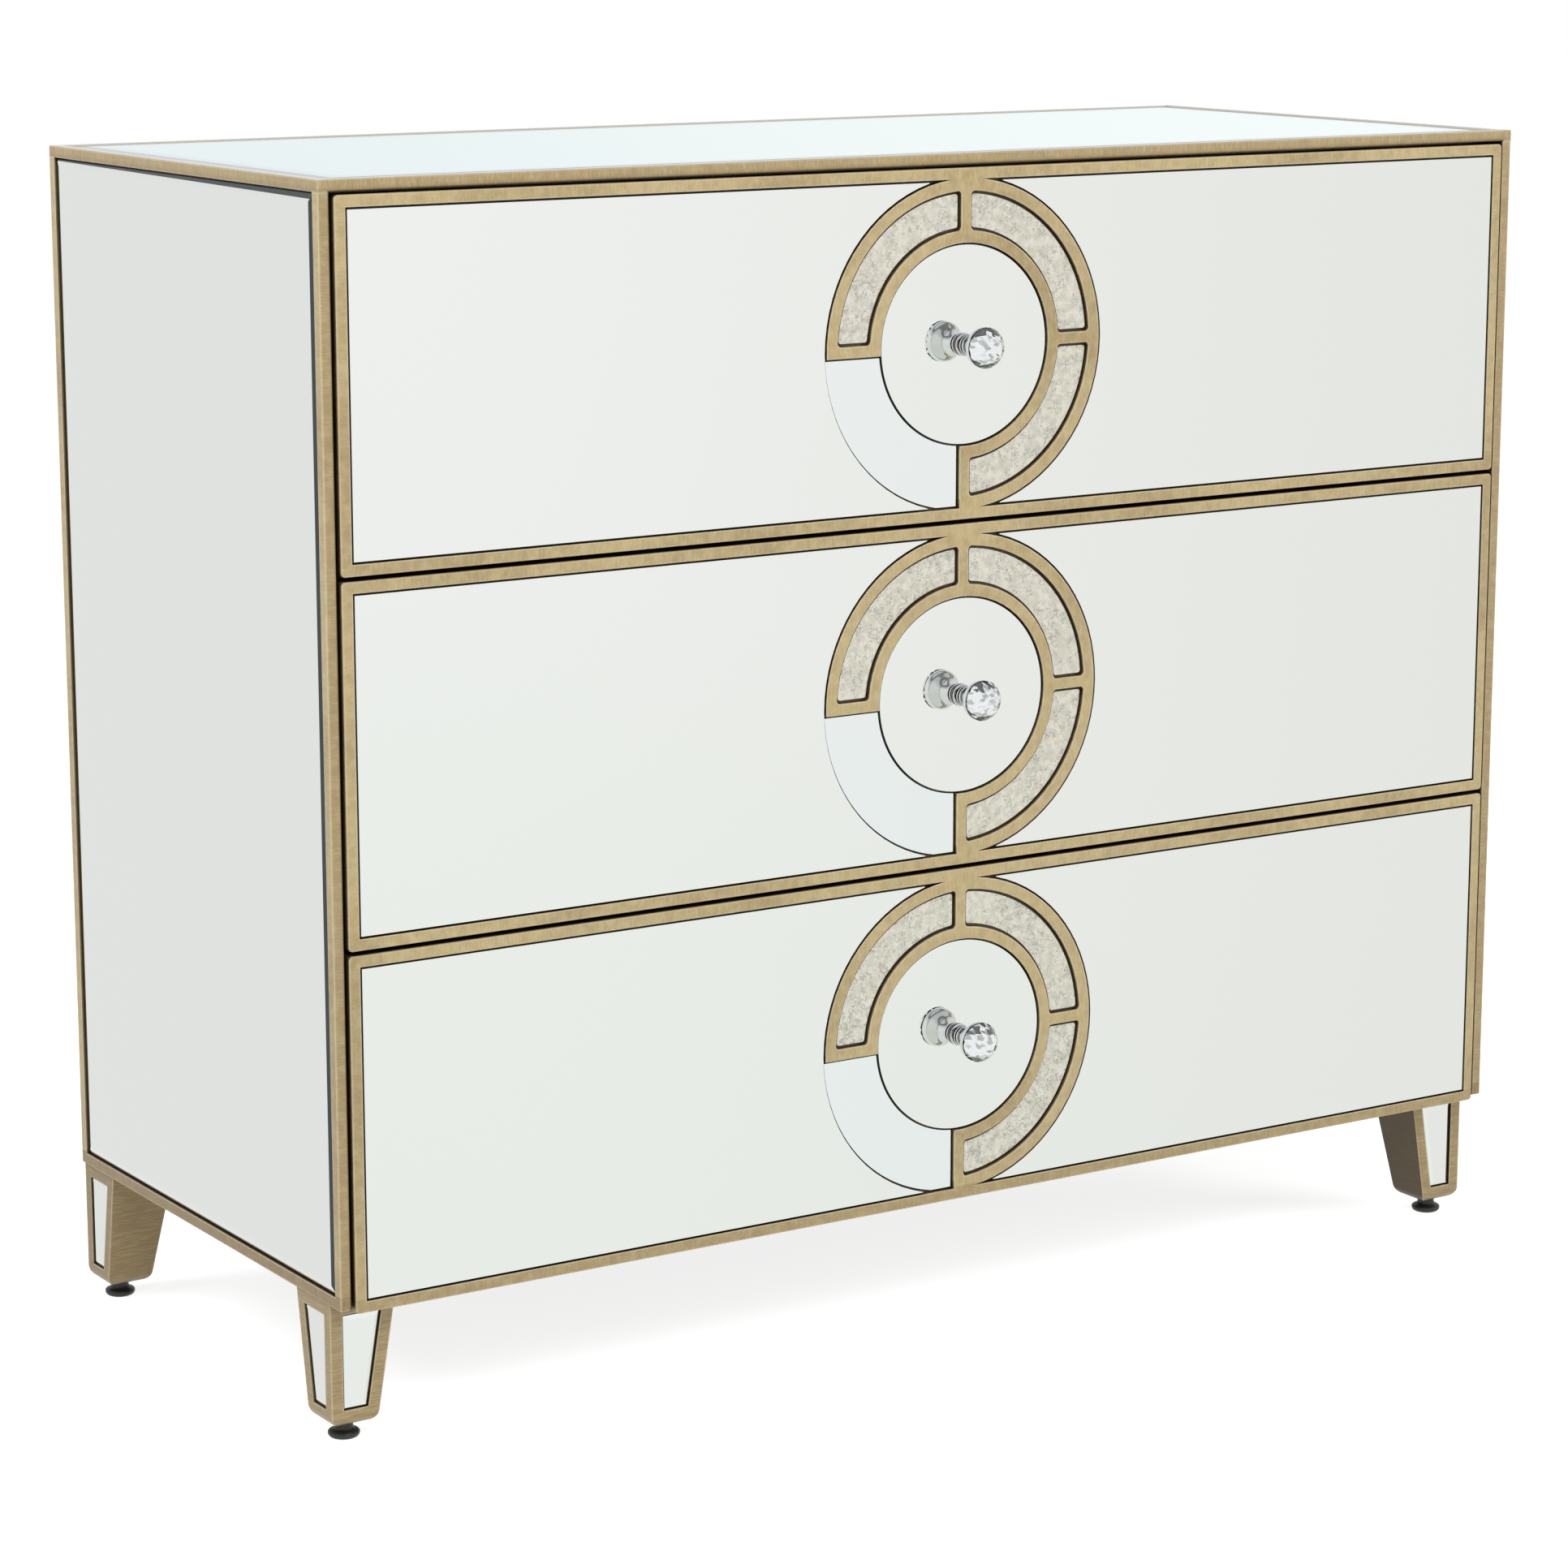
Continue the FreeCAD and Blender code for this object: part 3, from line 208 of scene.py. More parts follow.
class BoardSettings(PropertyGroup):
    """Boards, steel and plastic that show when the drawers are open or from behind."""
    birch_light: colour("Birch Light", "Drawer boxes between the grain lines", (0.64, 0.49, 0.32))
    birch_dark: colour("Birch Dark", "Drawer boxes along the grain lines", (0.45, 0.315, 0.185))
    dark: colour("Dark Board", "Painted back, bottom and rails", (0.055, 0.046, 0.038))
    zinc: colour("Zinc", "Plated runners, screws and bolts", (0.56, 0.57, 0.58))
    plastic: colour("Plastic", "Levelling feet", (0.016, 0.015, 0.0145))


class StudioSettings(PropertyGroup):
    """Camera, lamps and floor."""
    lens: FloatProperty(name="Lens", description="Focal length of the camera", default=102.1, unit="CAMERA")
    place: FloatVectorProperty(
        name="Place", description="Where the camera stands", default=(-1.7806, -2.7332, 1.0472),
        subtype="TRANSLATION", unit="LENGTH")
    yaw: angle("Yaw", "Turn of the camera from the chest's depth to its right", 32.68)
    pitch: angle("Pitch", "Tilt of the camera below the horizon", 11.68)
    key_power: power("Key", "Lamp before the chest, to its left", 70)
    fill_power: power("Fill", "Lamp before the chest, to its right", 60)
    side_power: power("Side", "Lamp beside the chest, to its left", 46)
    lamp_size: length("Lamp Size", "Edge of each soft lamp", 1.6)
    ambient: share("Ambient", "Light from all round", 0.35)
    floor_size: length("Floor Size", "Edge of the white floor", 24)


# Shader maths

class Signal:
    """One output of a shader node; Python's operators on it add the nodes that work out the result."""

    def __init__(self, tree, output=None):
        self.tree = tree
        self.output = output

    def add(self, kind, settings=None, sockets=None, result=0):
        """Add a node of a type, with its settings, then its sockets' values or links; give one output."""
        node = self.tree.nodes.new(kind)
        for name, value in (settings or {}).items():
            setattr(node, name, value)
        for name, value in (sockets or {}).items():
            if isinstance(value, Signal):
                self.tree.links.new(value.output, node.inputs[name])
            else:
                node.inputs[name].default_value = value
        return Signal(self.tree, node.outputs[result] if node.outputs else None)

    def math(self, operation, *values):
        """A Math node, or a Vector Math node where this output is a vector."""
        kind = "ShaderNodeVectorMath" if self.output.type == "VECTOR" else "ShaderNodeMath"
        return self.add(kind, {"operation": operation}, dict(enumerate(values)))

    def __add__(self, other):
        return self.math("ADD", self, other)

    def __radd__(self, other):
        return self.math("ADD", other, self)

    def __sub__(self, other):
        return self.math("SUBTRACT", self, other)

    def __rsub__(self, other):
        return self.math("SUBTRACT", other, self)

    def __mul__(self, other):
        return self.math("MULTIPLY", self, other)

    def __rmul__(self, other):
        return self.math("MULTIPLY", other, self)

    def __neg__(self):
        return self.math("MULTIPLY", self, -1)

    def __abs__(self):
        return self.math("ABSOLUTE", self)

    def __gt__(self, limit):
        return self.math("GREATER_THAN", self, limit)

    def __lt__(self, limit):
        return self.math("LESS_THAN", self, limit)

    def either(self, other):
        """The larger of two masks."""
        return self.math("MAXIMUM", self, other)

    def parts(self):
        """The X, Y and Z of a vector."""
        first = self.add("ShaderNodeSeparateXYZ", sockets={0: self})
        return [Signal(self.tree, output) for output in first.output.node.outputs]

    def rise(self, low, high):
        """A mask that rises smoothly from 0 at low to 1 at high."""
        return self.add(
            "ShaderNodeMapRange", {"interpolation_type": "SMOOTHSTEP"},
            {"Value": self, "From Min": low, "From Max": high})

    def noise(self, sizes, detail=3.0):
        """Cloudy noise about this place; sizes gives the width of a cloud along X, Y and Z."""
        spread = self * tuple(1 / size for size in sizes)
        return spread.add("ShaderNodeTexNoise", sockets={"Vector": spread, "Scale": 1.0, "Detail": detail})

    def cells(self, size):
        """Distance to the middle of the nearest of many uneven cells, in cell sizes."""
        return self.add("ShaderNodeTexVoronoi", sockets={"Vector": self, "Scale": 1 / size})

    def blend(self, low, high):
        """A colour between two, by this mask."""
        sockets = {0: self, 6: rgba(low), 7: rgba(high)}
        return self.add("ShaderNodeMix", {"data_type": "RGBA"}, sockets, 2)

    def dot(self, other):
        """The dot product of two directions."""
        return self.add("ShaderNodeVectorMath", {"operation": "DOT_PRODUCT"}, {0: self, 1: other}, "Value")

    def bump(self, depth, normal=None):
        """A normal for a surface that rises by a depth where this height is 1."""
        sockets = {"Height": self, "Distance": depth, "Strength": 1.0}
        if normal:
            sockets["Normal"] = normal
        return self.add("ShaderNodeBump", sockets=sockets)


def rgba(tone):
    """A colour with its alpha, or a signal as it is."""
    return tone if isinstance(tone, Signal) else (*tone, 1.0)


def new_finish(name):
    """An empty material, and the start of its nodes."""
    material = bpy.data.materials.new(name)
    material.use_nodes = True
    material.node_tree.nodes.clear()
    return material, Signal(material.node_tree)


def surface_place(start):
    """The place on the piece itself."""
    return start.add("ShaderNodeTexCoord", result="Object")


def surface_normal(start):
    """The way the surface faces."""
    return start.add("ShaderNodeNewGeometry", result="Normal")


def close_finish(start, sockets):
    """End the nodes of a material in its surface."""
    surface = start.add("ShaderNodeBsdfPrincipled", sockets=sockets)
    start.add("ShaderNodeOutputMaterial", sockets={"Surface": surface})


# Sizes and depths of the marks in the finishes

HAZE_SIZE = 0.05
HAZE_DEPTH = 0.00002
SPECK_DEPTH = 0.00003
TURNING_MARK = (0.02, 0.00018, 0.02)
TURNING_DEPTH = 0.000004
GRAIN_LINE_WIDTH = 0.0035
GRAIN_LINE_LENGTH = 0.35
GRAIN_BAND_WIDTH = 0.03
GRAIN_BAND_LENGTH = 0.6
GRAIN_DEPTH = 0.00005
PEEL_SIZE = 0.0016
PEEL_DEPTH = 0.00012
PAINT_CLOUD_SIZE = 0.09
DRAWING_MARK = (0.0006, 0.09, 0.0006)
DRAWING_DEPTH = 0.00002
SPANGLE_SIZE = 0.006
SKIN_SIZE = 0.0005
SKIN_DEPTH = 0.00004
SCUFF_SIZE = 0.006

# Limits of masks: how far an edge turns away, and how open gaps and grooves lie

# These bound the painted highlight on edges and the painted shade in gaps and grooves
EDGE_TURN = (0.88, 0.995)
GAP_OPEN = (0.28, 0.93)
GROOVE_OPEN = (0.58, 0.95)


# Finishes

def openness(start, reach):
    """How open the surface lies: 1 in the open, less in gaps and grooves about as wide as the reach."""
    return start.add("ShaderNodeAmbientOcclusion", {"samples": 6}, {"Distance": reach}, "AO")


def faces_front(facing):
    """The mask of the faces that look forwards."""
    return facing.parts()[1] < -LOOKING


def nowhere(place, facing):
    """The mask of no place at all."""
    return 0 * facing.parts()[2]


def all_upright(place):
    """No level strokes."""
    return 0.0


def all_level(place):
    """Level strokes everywhere."""
    return 1.0


def gold_paint(name, paint, streak, level, browning, bright=nowhere, pale=nowhere, dim=nowhere, stretch=1.0):
    """Metallic paint, brushed across each bar by a streak share and mottled for the rest.

    level to dim give masks, in order: level strokes; brown paint, partly warm patches, partly painted shade;
    painted highlight on edges; painted light on upper faces; painted shade in the shade colour. stretch is
    how much longer the strokes are than elsewhere.
    """
    material, start = new_finish(name)
    place = surface_place(start)
    facing = surface_normal(start)
    wide, fine = stretch * paint.stroke_length, paint.stroke_width
    upright_strokes = place.noise((fine, fine, wide))
    level_strokes = place.noise((wide, wide, fine))
    strokes = upright_strokes + (level_strokes - upright_strokes) * level(place)
    mottle = place.noise([paint.mottle_size] * 3, detail=6.0)
    softness = 0.24 - 0.14 * streak
    stroke = (streak * strokes + (1 - streak) * mottle).rise(0.5 - softness, 0.5 + softness)
    patch = place.noise([paint.patch_size] * 3, detail=2.0).rise(0.42, 0.72)
    eased = start.add("ShaderNodeBevel", {"samples": 4}, {"Radius": paint.edge_radius})
    # Painted highlight: edges found by the Bevel node's rounded normal turn lighter
    edge = 1 - eased.dot(facing).rise(*EDGE_TURN)
    # Painted shade: where ambient occlusion finds the paint closed in, it turns to the shade colour
    opened = openness(start, paint.gap_reach).rise(*GAP_OPEN)
    # bright adds painted highlight, pale painted light and dim painted shade
    bright_here, top_light_here, dim_here = (mask(place, facing) for mask in (bright, pale, dim))
    edge = edge.either(bright_here) * (1 - dim_here)
    unshaded = opened.either(bright_here).either(top_light_here) * (1 - 0.8 * dim_here)
    # Brown share: random warm patches, and painted shade from the place masks
    brown_share = (patch * (0.6 - 0.3 * stroke)).either(browning(place, facing) * (1.2 - 0.45 * stroke))
    tone = brown_share.blend(stroke.blend(paint.dark, paint.light), paint.brown_and_shade)
    tone = (0.85 * edge).blend(tone, paint.lightened)
    # Painted light: the top's upper faces and mirror walls take the pale colour
    tone = (0.75 * top_light_here).blend(tone, paint.pale)
    close_finish(start, {
        "Base Color": unshaded.blend(paint.shade, tone),
        "Metallic": paint.metal,
        "Roughness": paint.roughness + 0.12 * stroke,
        "Coat Weight": paint.lacquer * (1 - dim_here) + 0.7 * top_light_here,
        "Coat Roughness": 0.25,
        "Normal": stroke.bump(paint.stroke_depth, eased),
    })
    return material


def silvered_glass(name, edge, silver, silvered):
    """Mirror glass: the tones of its edge and its silver, and a mask of its silvered faces from their way."""
    material, start = new_finish(name)
    face = silvered(surface_normal(start))
    haze = surface_place(start).noise([HAZE_SIZE] * 3, detail=2.0)
    tone = silver(start) if callable(silver) else silver
    close_finish(start, {
        "Base Color": face.blend(edge, tone),
        "Metallic": face,
        "Roughness": 0.012 * haze + 0.5 * (1 - face),
        "Specular IOR Level": 0.15,
        "Normal": haze.bump(HAZE_DEPTH),
    })
    return material


def antiqued_glass(glass):
    """Mirror whose silver is clouded cream and broken by grey specks."""
    material, start = new_finish("antiqued_mirror")
    place = surface_place(start)
    size = glass.speck_size
    cloud = place.noise([3.5 * size] * 3).rise(0.38, 0.62)
    film = place.noise([4.5 * size] * 3).rise(0.5, 0.68)
    cluster = place.noise([4 * size] * 3, detail=2.0).rise(0.42, 0.58)
    curl = 1 - abs(place.noise([2.6 * size] * 3, detail=2.0) - 0.5).rise(0.01, 0.045)
    crumb = place.noise([1.1 * size] * 3, detail=2.0).rise(0.56, 0.66)
    speck = (curl * cluster).either(crumb * (0.3 + 0.7 * cluster))
    silver = (0.6 * film).blend(cloud.blend(glass.antique_cream, glass.antique_white), glass.antique_film)
    close_finish(start, {
        "Base Color": (0.8 * speck).blend(silver, glass.antique_grey),
        "Metallic": 0.85 - 0.6 * speck,
        "Roughness": 0.16 + 0.3 * speck,
        "Normal": (-speck).bump(SPECK_DEPTH),
    })
    return material


def chrome_plate(knob):
    """Bright plate with fine turning marks, and painted shade in its grooves."""
    material, start = new_finish("knob_chrome")
    marks = surface_place(start).noise(TURNING_MARK, detail=2.0)
    opened = openness(start, knob.groove_reach).rise(*GROOVE_OPEN)
    close_finish(start, {
        "Base Color": opened.blend(knob.groove_shade, knob.chrome),
        "Metallic": 1.0,
        "Roughness": 0.03 + 0.06 * marks,
        "Normal": marks.bump(TURNING_DEPTH),
    })
    return material


def clear_crystal(knob):
    """Clear crystal, silvered inside its cup, with a painted reflection tint of blue and straw from facet to
    facet, by the way each faces.
    """
    material, start = new_finish("cut_crystal")
    across, _, up = surface_normal(start).parts()
    # Painted reflection tint: cool or warm by the way each facet faces
    turn = (across + up).rise(-1.2, 1.2)
    silvered = surface_place(start).parts()[1] > CRYSTAL_SEAT_Y - CUP_DEPTH
    clear = turn.blend(knob.clear_cool, knob.clear_warm)
    close_finish(start, {
        "Base Color": silvered.blend(clear, knob.foil),
        "Metallic": silvered,
        "Roughness": 0.04 * silvered,
        "IOR": knob.refraction,
        "Transmission Weight": knob.clearness,
    })
    return material


def birch_board(name, boards, along):
    """Lacquered birch whose grain runs along one axis: 0, 1 or 2."""
    material, start = new_finish(name)
    place = surface_place(start)
    line_sizes = [GRAIN_LINE_WIDTH] * 3
    line_sizes[along] = GRAIN_LINE_LENGTH
    band_sizes = [GRAIN_BAND_WIDTH] * 3
    band_sizes[along] = GRAIN_BAND_LENGTH
    line = place.noise(line_sizes, detail=4.0).rise(0.42, 0.72)
    band = place.noise(band_sizes, detail=2.0).rise(0.3, 0.7)
    close_finish(start, {
        "Base Color": (0.6 * line + 0.25 * band).blend(boards.birch_light, boards.birch_dark),
        "Roughness": 0.38 + 0.15 * line,
        "Coat Weight": 0.2,
        "Normal": (-line).bump(GRAIN_DEPTH),
    })
    return material


def dark_board(boards):
    """Fibreboard under a rolled coat of dark paint."""
    material, start = new_finish("dark_painted_board")
    place = surface_place(start)
    peel = place.noise([PEEL_SIZE] * 3)
    cloud = place.noise([PAINT_CLOUD_SIZE] * 3, detail=2.0)
    lighter = [1.5 * tone for tone in boards.dark]
    close_finish(start, {
        "Base Color": (0.7 * cloud + 0.3 * peel).rise(0.3, 0.7).blend(boards.dark, lighter),
        "Roughness": 0.55 + 0.2 * peel,
        "Normal": peel.bump(PEEL_DEPTH),
    })
    return material


def zinc_plate(boards):
    """Zinc plate over rolled steel, with drawing marks along the runner."""
    material, start = new_finish("zinc_plated_steel")
    place = surface_place(start)
    marks = place.noise(DRAWING_MARK)
    spangle = place.cells(SPANGLE_SIZE)
    darker = [0.72 * tone for tone in boards.zinc]
    close_finish(start, {
        "Base Color": (0.6 * marks + 0.4 * spangle).rise(0.25, 0.75).blend(darker, boards.zinc),
        "Metallic": 0.95,
        "Roughness": 0.24 + 0.2 * marks,
        "Normal": marks.bump(DRAWING_DEPTH),
    })
    return material


def black_plastic(boards):
    """Moulded black plastic with a fine spark-eroded skin."""
    material, start = new_finish("moulded_black_plastic")
    place = surface_place(start)
    skin = place.noise([SKIN_SIZE] * 3, detail=2.0)
    scuffs = place.noise([SCUFF_SIZE] * 3, detail=4.0).rise(0.5, 0.75)
    lightened = [2.2 * tone for tone in boards.plastic]
    close_finish(start, {
        "Base Color": scuffs.blend(boards.plastic, lightened),
        "Roughness": 0.42 + 0.14 * scuffs,
        "Normal": skin.bump(SKIN_DEPTH),
    })
    return material


# Pieces

def dress(material, *nodes):
    """Give packed nodes a finish."""
    for node in nodes:
        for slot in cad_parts[node].material_slots:
            slot.material = material


def new_piece(name, mesh, material, body, replaced):
    """Turn a bmesh into a piece that rides on a body and stands for packed nodes."""
    data = bpy.data.meshes.new(name)
    bmesh.ops.recalc_face_normals(mesh, faces=mesh.faces)
    mesh.to_mesh(data)
    mesh.free()
    data.materials.append(material)
    piece = bpy.data.objects.new(name, data)
    bpy.context.scene.collection.objects.link(piece)
    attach(piece, body)
    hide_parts(*replaced)
    return piece


def grind(mesh, point, normal):
    """Cut away what lies beyond a plane and close the flat that it leaves."""
    everything = [*mesh.verts, *mesh.edges, *mesh.faces]
    cut = bmesh.ops.bisect_plane(mesh, geom=everything, plane_co=point, plane_no=normal, clear_outer=True)
    rim = [item for item in cut["geom_cut"] if isinstance(item, bmesh.types.BMEdge)]
    if rim:
        bmesh.ops.edgeloop_fill(mesh, edges=rim)


# Outlines: share of the radius, share of the height

CRYSTAL_SHARES = ((0.8, 0.0), (0.92, 0.14), (1.0, 0.31), (0.86, 0.53), (0.7, 0.71), (0.5, 0.91), (0.33, 1.0))
FOOT_SHARES = (
    (0.0, 0.0), (0.6, 0.0), (0.78, 0.008), (0.93, 0.035), (1.0, 0.08), (0.98, 0.12),
    (0.88, 0.145), (0.7, 0.165), (0.61, 0.2), (0.58, 0.25), (0.58, 0.32), (0.36, 0.325))
KNOB_NECK_SHARES = (
    (0.0, 0.0), (0.54, 0.0), (0.56, 0.015), (0.56, 0.06), (0.5, 0.08), (0.41, 0.1), (0.4, 0.17),
    (0.48, 0.185), (0.48, 0.235), (0.4, 0.25), (0.4, 0.3), (0.48, 0.315), (0.48, 0.365))
KNOB_CUP_SHARES = (
    (0.4, 0.38), (0.41, 0.5), (0.45, 0.63), (0.52, 0.74), (0.64, 0.82),
    (0.79, 0.885), (0.91, 0.94), (0.97, 1.01), (0.985, 1.08), (0.98, 1.15))
KNOB_SEAT_SHARES = ((0.957, 1.155), (0.93, 1.11), (0.815, 1.0), (0.0, 1.0))
CURVE_STEPS = 4
KNOB_SHARP_ANGLE = math.radians(35)
GLUE_FILM = 0.0001
THREAD_PITCH = 0.00125
THREAD_DEPTH = 0.0005
THREAD_CREST = (0.4, 0.6)
SAME_PLACE = 1e-6


def crystal_mesh(node, sides):
    """A block ground to rows of flat facets about the knob's axis, each row half a facet on."""
    low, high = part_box(node)
    radius = (high.x - low.x) / 2
    depth = high.y - low.y
    seat = Vector(((low.x + high.x) / 2, high.y, (low.z + high.z) / 2))
    block_size = 3 * depth
    mesh = bmesh.new()
    bmesh.ops.create_cube(mesh, size=block_size, matrix=Matrix.Translation(seat))
    grind(mesh, seat - Vector((0, GLUE_FILM, 0)), Vector((0, 1, 0)))
    grind(mesh, seat - Vector((0, depth, 0)), Vector((0, -1, 0)))
    for row, (inner, outer) in enumerate(zip(CRYSTAL_SHARES, CRYSTAL_SHARES[1:])):
        run = (outer[0] - inner[0]) * radius
        rise = (outer[1] - inner[1]) * depth
        slope = math.hypot(run, rise)
        middle_radius = (inner[0] + outer[0]) / 2 * radius * math.cos(math.pi / sides)
        middle_height = (inner[1] + outer[1]) / 2 * depth
        for number in range(sides):
            turn = 2 * math.pi * (number + row % 2 / 2) / sides
            spoke = Vector((math.cos(turn), 0, math.sin(turn)))
            point = seat + middle_radius * spoke - Vector((0, middle_height, 0))
            grind(mesh, point, spoke * rise / slope + Vector((0, run / slope, 0)))
    sliver = radius / 1000
    bmesh.ops.dissolve_degenerate(mesh, edges=mesh.edges, dist=sliver)
    return mesh


def between(before, first, last, after, done):
    """A value on the way from the first to the last, smooth with the ones before and after."""
    slope = last - before
    bend = 2 * before - 5 * first + 4 * last - after
    twist = 3 * (first - last) + after - before
    return (2 * first + slope * done + bend * done ** 2 + twist * done ** 3) / 2


def flowing(points):
    """Points along a smooth curve through the given ones."""
    padded = [points[0], *points, points[-1]]
    curve = []
    for stretch in zip(padded, padded[1:], padded[2:], padded[3:]):
        for step in range(CURVE_STEPS):
            curve.append(tuple(between(*values, step / CURVE_STEPS) for values in zip(*stretch)))
    return [*curve, points[-1]]


def turn_outline(mesh, outline, centre, sides, lead=0):
    """Turn an outline of radius and height about an upright axis; a lead lifts it by that much each turn."""
    rows = []
    for step in range(sides + 1):
        turn = 2 * math.pi * step / sides
        climb = lead * step / sides
        row = []
        for radius, height in outline:
            offset = Vector((radius * math.cos(turn), radius * math.sin(turn), height + climb))
            row.append(mesh.verts.new(centre + offset))
        rows.append(row)
    for row, following in zip(rows, rows[1:]):
        for index in range(len(outline) - 1):
            mesh.faces.new((row[index], following[index], following[index + 1], row[index + 1]))
    bmesh.ops.remove_doubles(mesh, verts=mesh.verts, dist=SAME_PLACE)


def knob_base_mesh(node, crystal_node, sides=72):
    """A turned base: foot, grooved neck and the cup that holds the back of the crystal."""
    low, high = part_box(node)
    crystal_low, crystal_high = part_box(crystal_node)
    radius = (crystal_high.x - crystal_low.x) / 2
    shares = [*KNOB_NECK_SHARES, *flowing(KNOB_CUP_SHARES), *KNOB_SEAT_SHARES]
    outline = [(wide * radius, out * (high.y - low.y)) for wide, out in shares]
    foot = Vector(((low.x + high.x) / 2, high.y, (low.z + high.z) / 2))
    mesh = bmesh.new()
    turn_outline(mesh, outline, Vector(), sides)
    outwards = Matrix.Translation(foot) @ Matrix.Rotation(math.pi / 2, 4, "X")
    bmesh.ops.transform(mesh, matrix=outwards, verts=mesh.verts)
    return mesh


def foot_mesh(node, sides=64):
    """A levelling foot: a moulded pad and its threaded stem."""
    low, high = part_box(node)
    radius = (high.x - low.x) / 2
    height = high.z - low.z
    centre = Vector(((low.x + high.x) / 2, (low.y + high.y) / 2, low.z))
    mesh = bmesh.new()
    pad = [(wide * radius, max(up, 0) * height) for wide, up in flowing(FOOT_SHARES)]
    turn_outline(mesh, pad, centre, sides)
    crest = FOOT_SHARES[-1][0] * radius
    root = crest - THREAD_DEPTH
    start = FOOT_SHARES[-1][1] * height - THREAD_PITCH
    turns = int((height - start - THREAD_PITCH) / THREAD_PITCH)
    thread = [(root, start)]
    for number in range(turns):
        foot = start + number * THREAD_PITCH
        thread += [(crest, foot + part * THREAD_PITCH) for part in THREAD_CREST]
        thread.append((root, foot + THREAD_PITCH))
    turn_outline(mesh, thread, centre, sides, THREAD_PITCH)
    return mesh


# Operators

class CHEST_OT_paint_boards(Operator):
    """Paint the top, sides, legs and drawer fronts champagne gold"""
    bl_idname = "chest.paint_boards"
    bl_label = "Paint Boards"

    def execute(self, context):
        paint = context.scene.chest_paint

        def rolling(beyond):
            """A mask that rises towards a lip's inner edge, from how far beyond that edge a place lies."""
            return (paint.roll - beyond).rise(0, paint.roll)

        def rolled_lip(place, facing):
            """Painted shade on the top's front face, where it rolls into the gap above the drawers."""
            x, _, z = place.parts()
            beside = rolling(abs(x) - (HALF_WIDTH - BAR_WIDTH))
            above = rolling(z - (TOP_RIM_Z - BAR_WIDTH))
            return beside * above * faces_front(facing)

        def rolled_stile(place, facing):
            """Painted shade on the left side's front face, where it rolls into the gap beside the drawers."""
            x = place.parts()[0]
            beside = rolling(abs(x) - (HALF_WIDTH - BAR_WIDTH))
            return beside * (x < 0) * faces_front(facing)

        top = gold_paint(
            "gold_top", paint, streak=0.7, level=all_upright, browning=self.on_top_rim, pale=self.on_top_faces,
            dim=rolled_lip)
        dress(top, "top_panel")
        sides = gold_paint(
            "gold_sides", paint, streak=0.5, level=self.on_side_stiles, browning=self.on_lip_and_foot,
            dim=rolled_stile)
        dress(sides, *(f"{side}_side_panel" for side in SIDES))
        legs = gold_paint(
            "gold_legs", paint, streak=0.8, level=all_level, browning=self.on_back_legs, dim=self.on_inner_faces,
            stretch=2.5)
        dress(legs, *(f"{corner}_leg" for corner in CORNERS))
        for drawer in DRAWERS:
            node = f"{drawer}_drawer_front"
            front = gold_paint(
                f"gold_{node}", paint, streak=0.45, level=self.on_front_stiles, browning=self.on_lowest_bar,
                bright=self.window_edges(drawer))
            dress(front, node)
        return {"FINISHED"}

    @staticmethod
    def window_edges(drawer):
        """A mask of the rounded edges of one ring's windows, where a painted highlight stands instead of the
        painted shade of the gap.
        """
        low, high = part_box(f"{drawer}_antique_segments")
        centre = ring_centre(drawer)
        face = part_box(f"{drawer}_drawer_front")[0].y
        outer = (high.x - low.x) / 2 + WINDOW_RIM
        inner = outer - WINDOW_WIDTH - 2 * WINDOW_RIM

        def edges(place, facing):
            """Faces near the front, between two circles, that don't look forwards."""
            x, y, z = (place - (centre.x, face, centre.z)).parts()
            reach = x * x + z * z
            around = (reach < outer ** 2) * (reach > inner ** 2)
            return around * (facing.parts()[1] > -LOOKING) * (y < WINDOW_ROUNDING)

        return edges

    @staticmethod
    def on_top_rim(place, facing):
        """Browner paint round the rim of the top, with painted shade darkening its lower edge."""
        lower_edge = (TOP_RIM_Z - place.parts()[2]).rise(*TOP_RIM_FADE)
        return (0.42 + 0.4 * lower_edge) * (facing.parts()[2] < LOOKING)

    @staticmethod
    def on_top_faces(place, facing):
        """The top's upper faces and the low walls round its mirror, which take painted light and lose the
        painted shade of the gaps.
        """
        low, high = TOP_GLASS
        x, y, _ = place.parts()
        within = (y > low.y - TOP_WALL_REACH) * (y < high.y + TOP_WALL_REACH)
        beside = (abs(x) < high.x + TOP_WALL_REACH) * within
        up = facing.parts()[2]
        return (up > SQUARELY).either(beside * (up < LOOKING))

    @staticmethod
    def on_lip_and_foot(place, facing):
        """Painted shade on a side panel: brown on its front lip, browner along its bottom bar."""
        foot = place.parts()[2] < SIDE_GLASS_Z[0]
        return (0.5 * faces_front(facing)).either(0.95 * foot)

    @staticmethod
    def on_back_legs(place, facing):
        """Painted shade on all the legs, browner on the back ones."""
        return 0.64 + 0.32 * (place.parts()[1] > 0)

    @staticmethod
    def on_inner_faces(place, facing):
        """The legs' faces towards the middle of the chest, with painted shade in place of gold."""
        return 0.95 * (place.parts()[0] * facing.parts()[0] < -LEG_INWARDS)

    @staticmethod
    def on_lowest_bar(place, facing):
        """Painted shade along the lowest bar of the fronts."""
        return 0.45 * (place.parts()[2] < LOWEST_PANE_Z)

    @staticmethod
    def on_side_stiles(place):
        """Where a side panel's front and back bars are."""
        y = place.parts()[1]
        return (y < SIDE_GLASS_Y[0]).either(y > SIDE_GLASS_Y[1])

    @staticmethod
    def on_front_stiles(place):
        """Where a drawer front's end bars are."""
        return abs(place.parts()[0]) > PANE_HALF_WIDTH


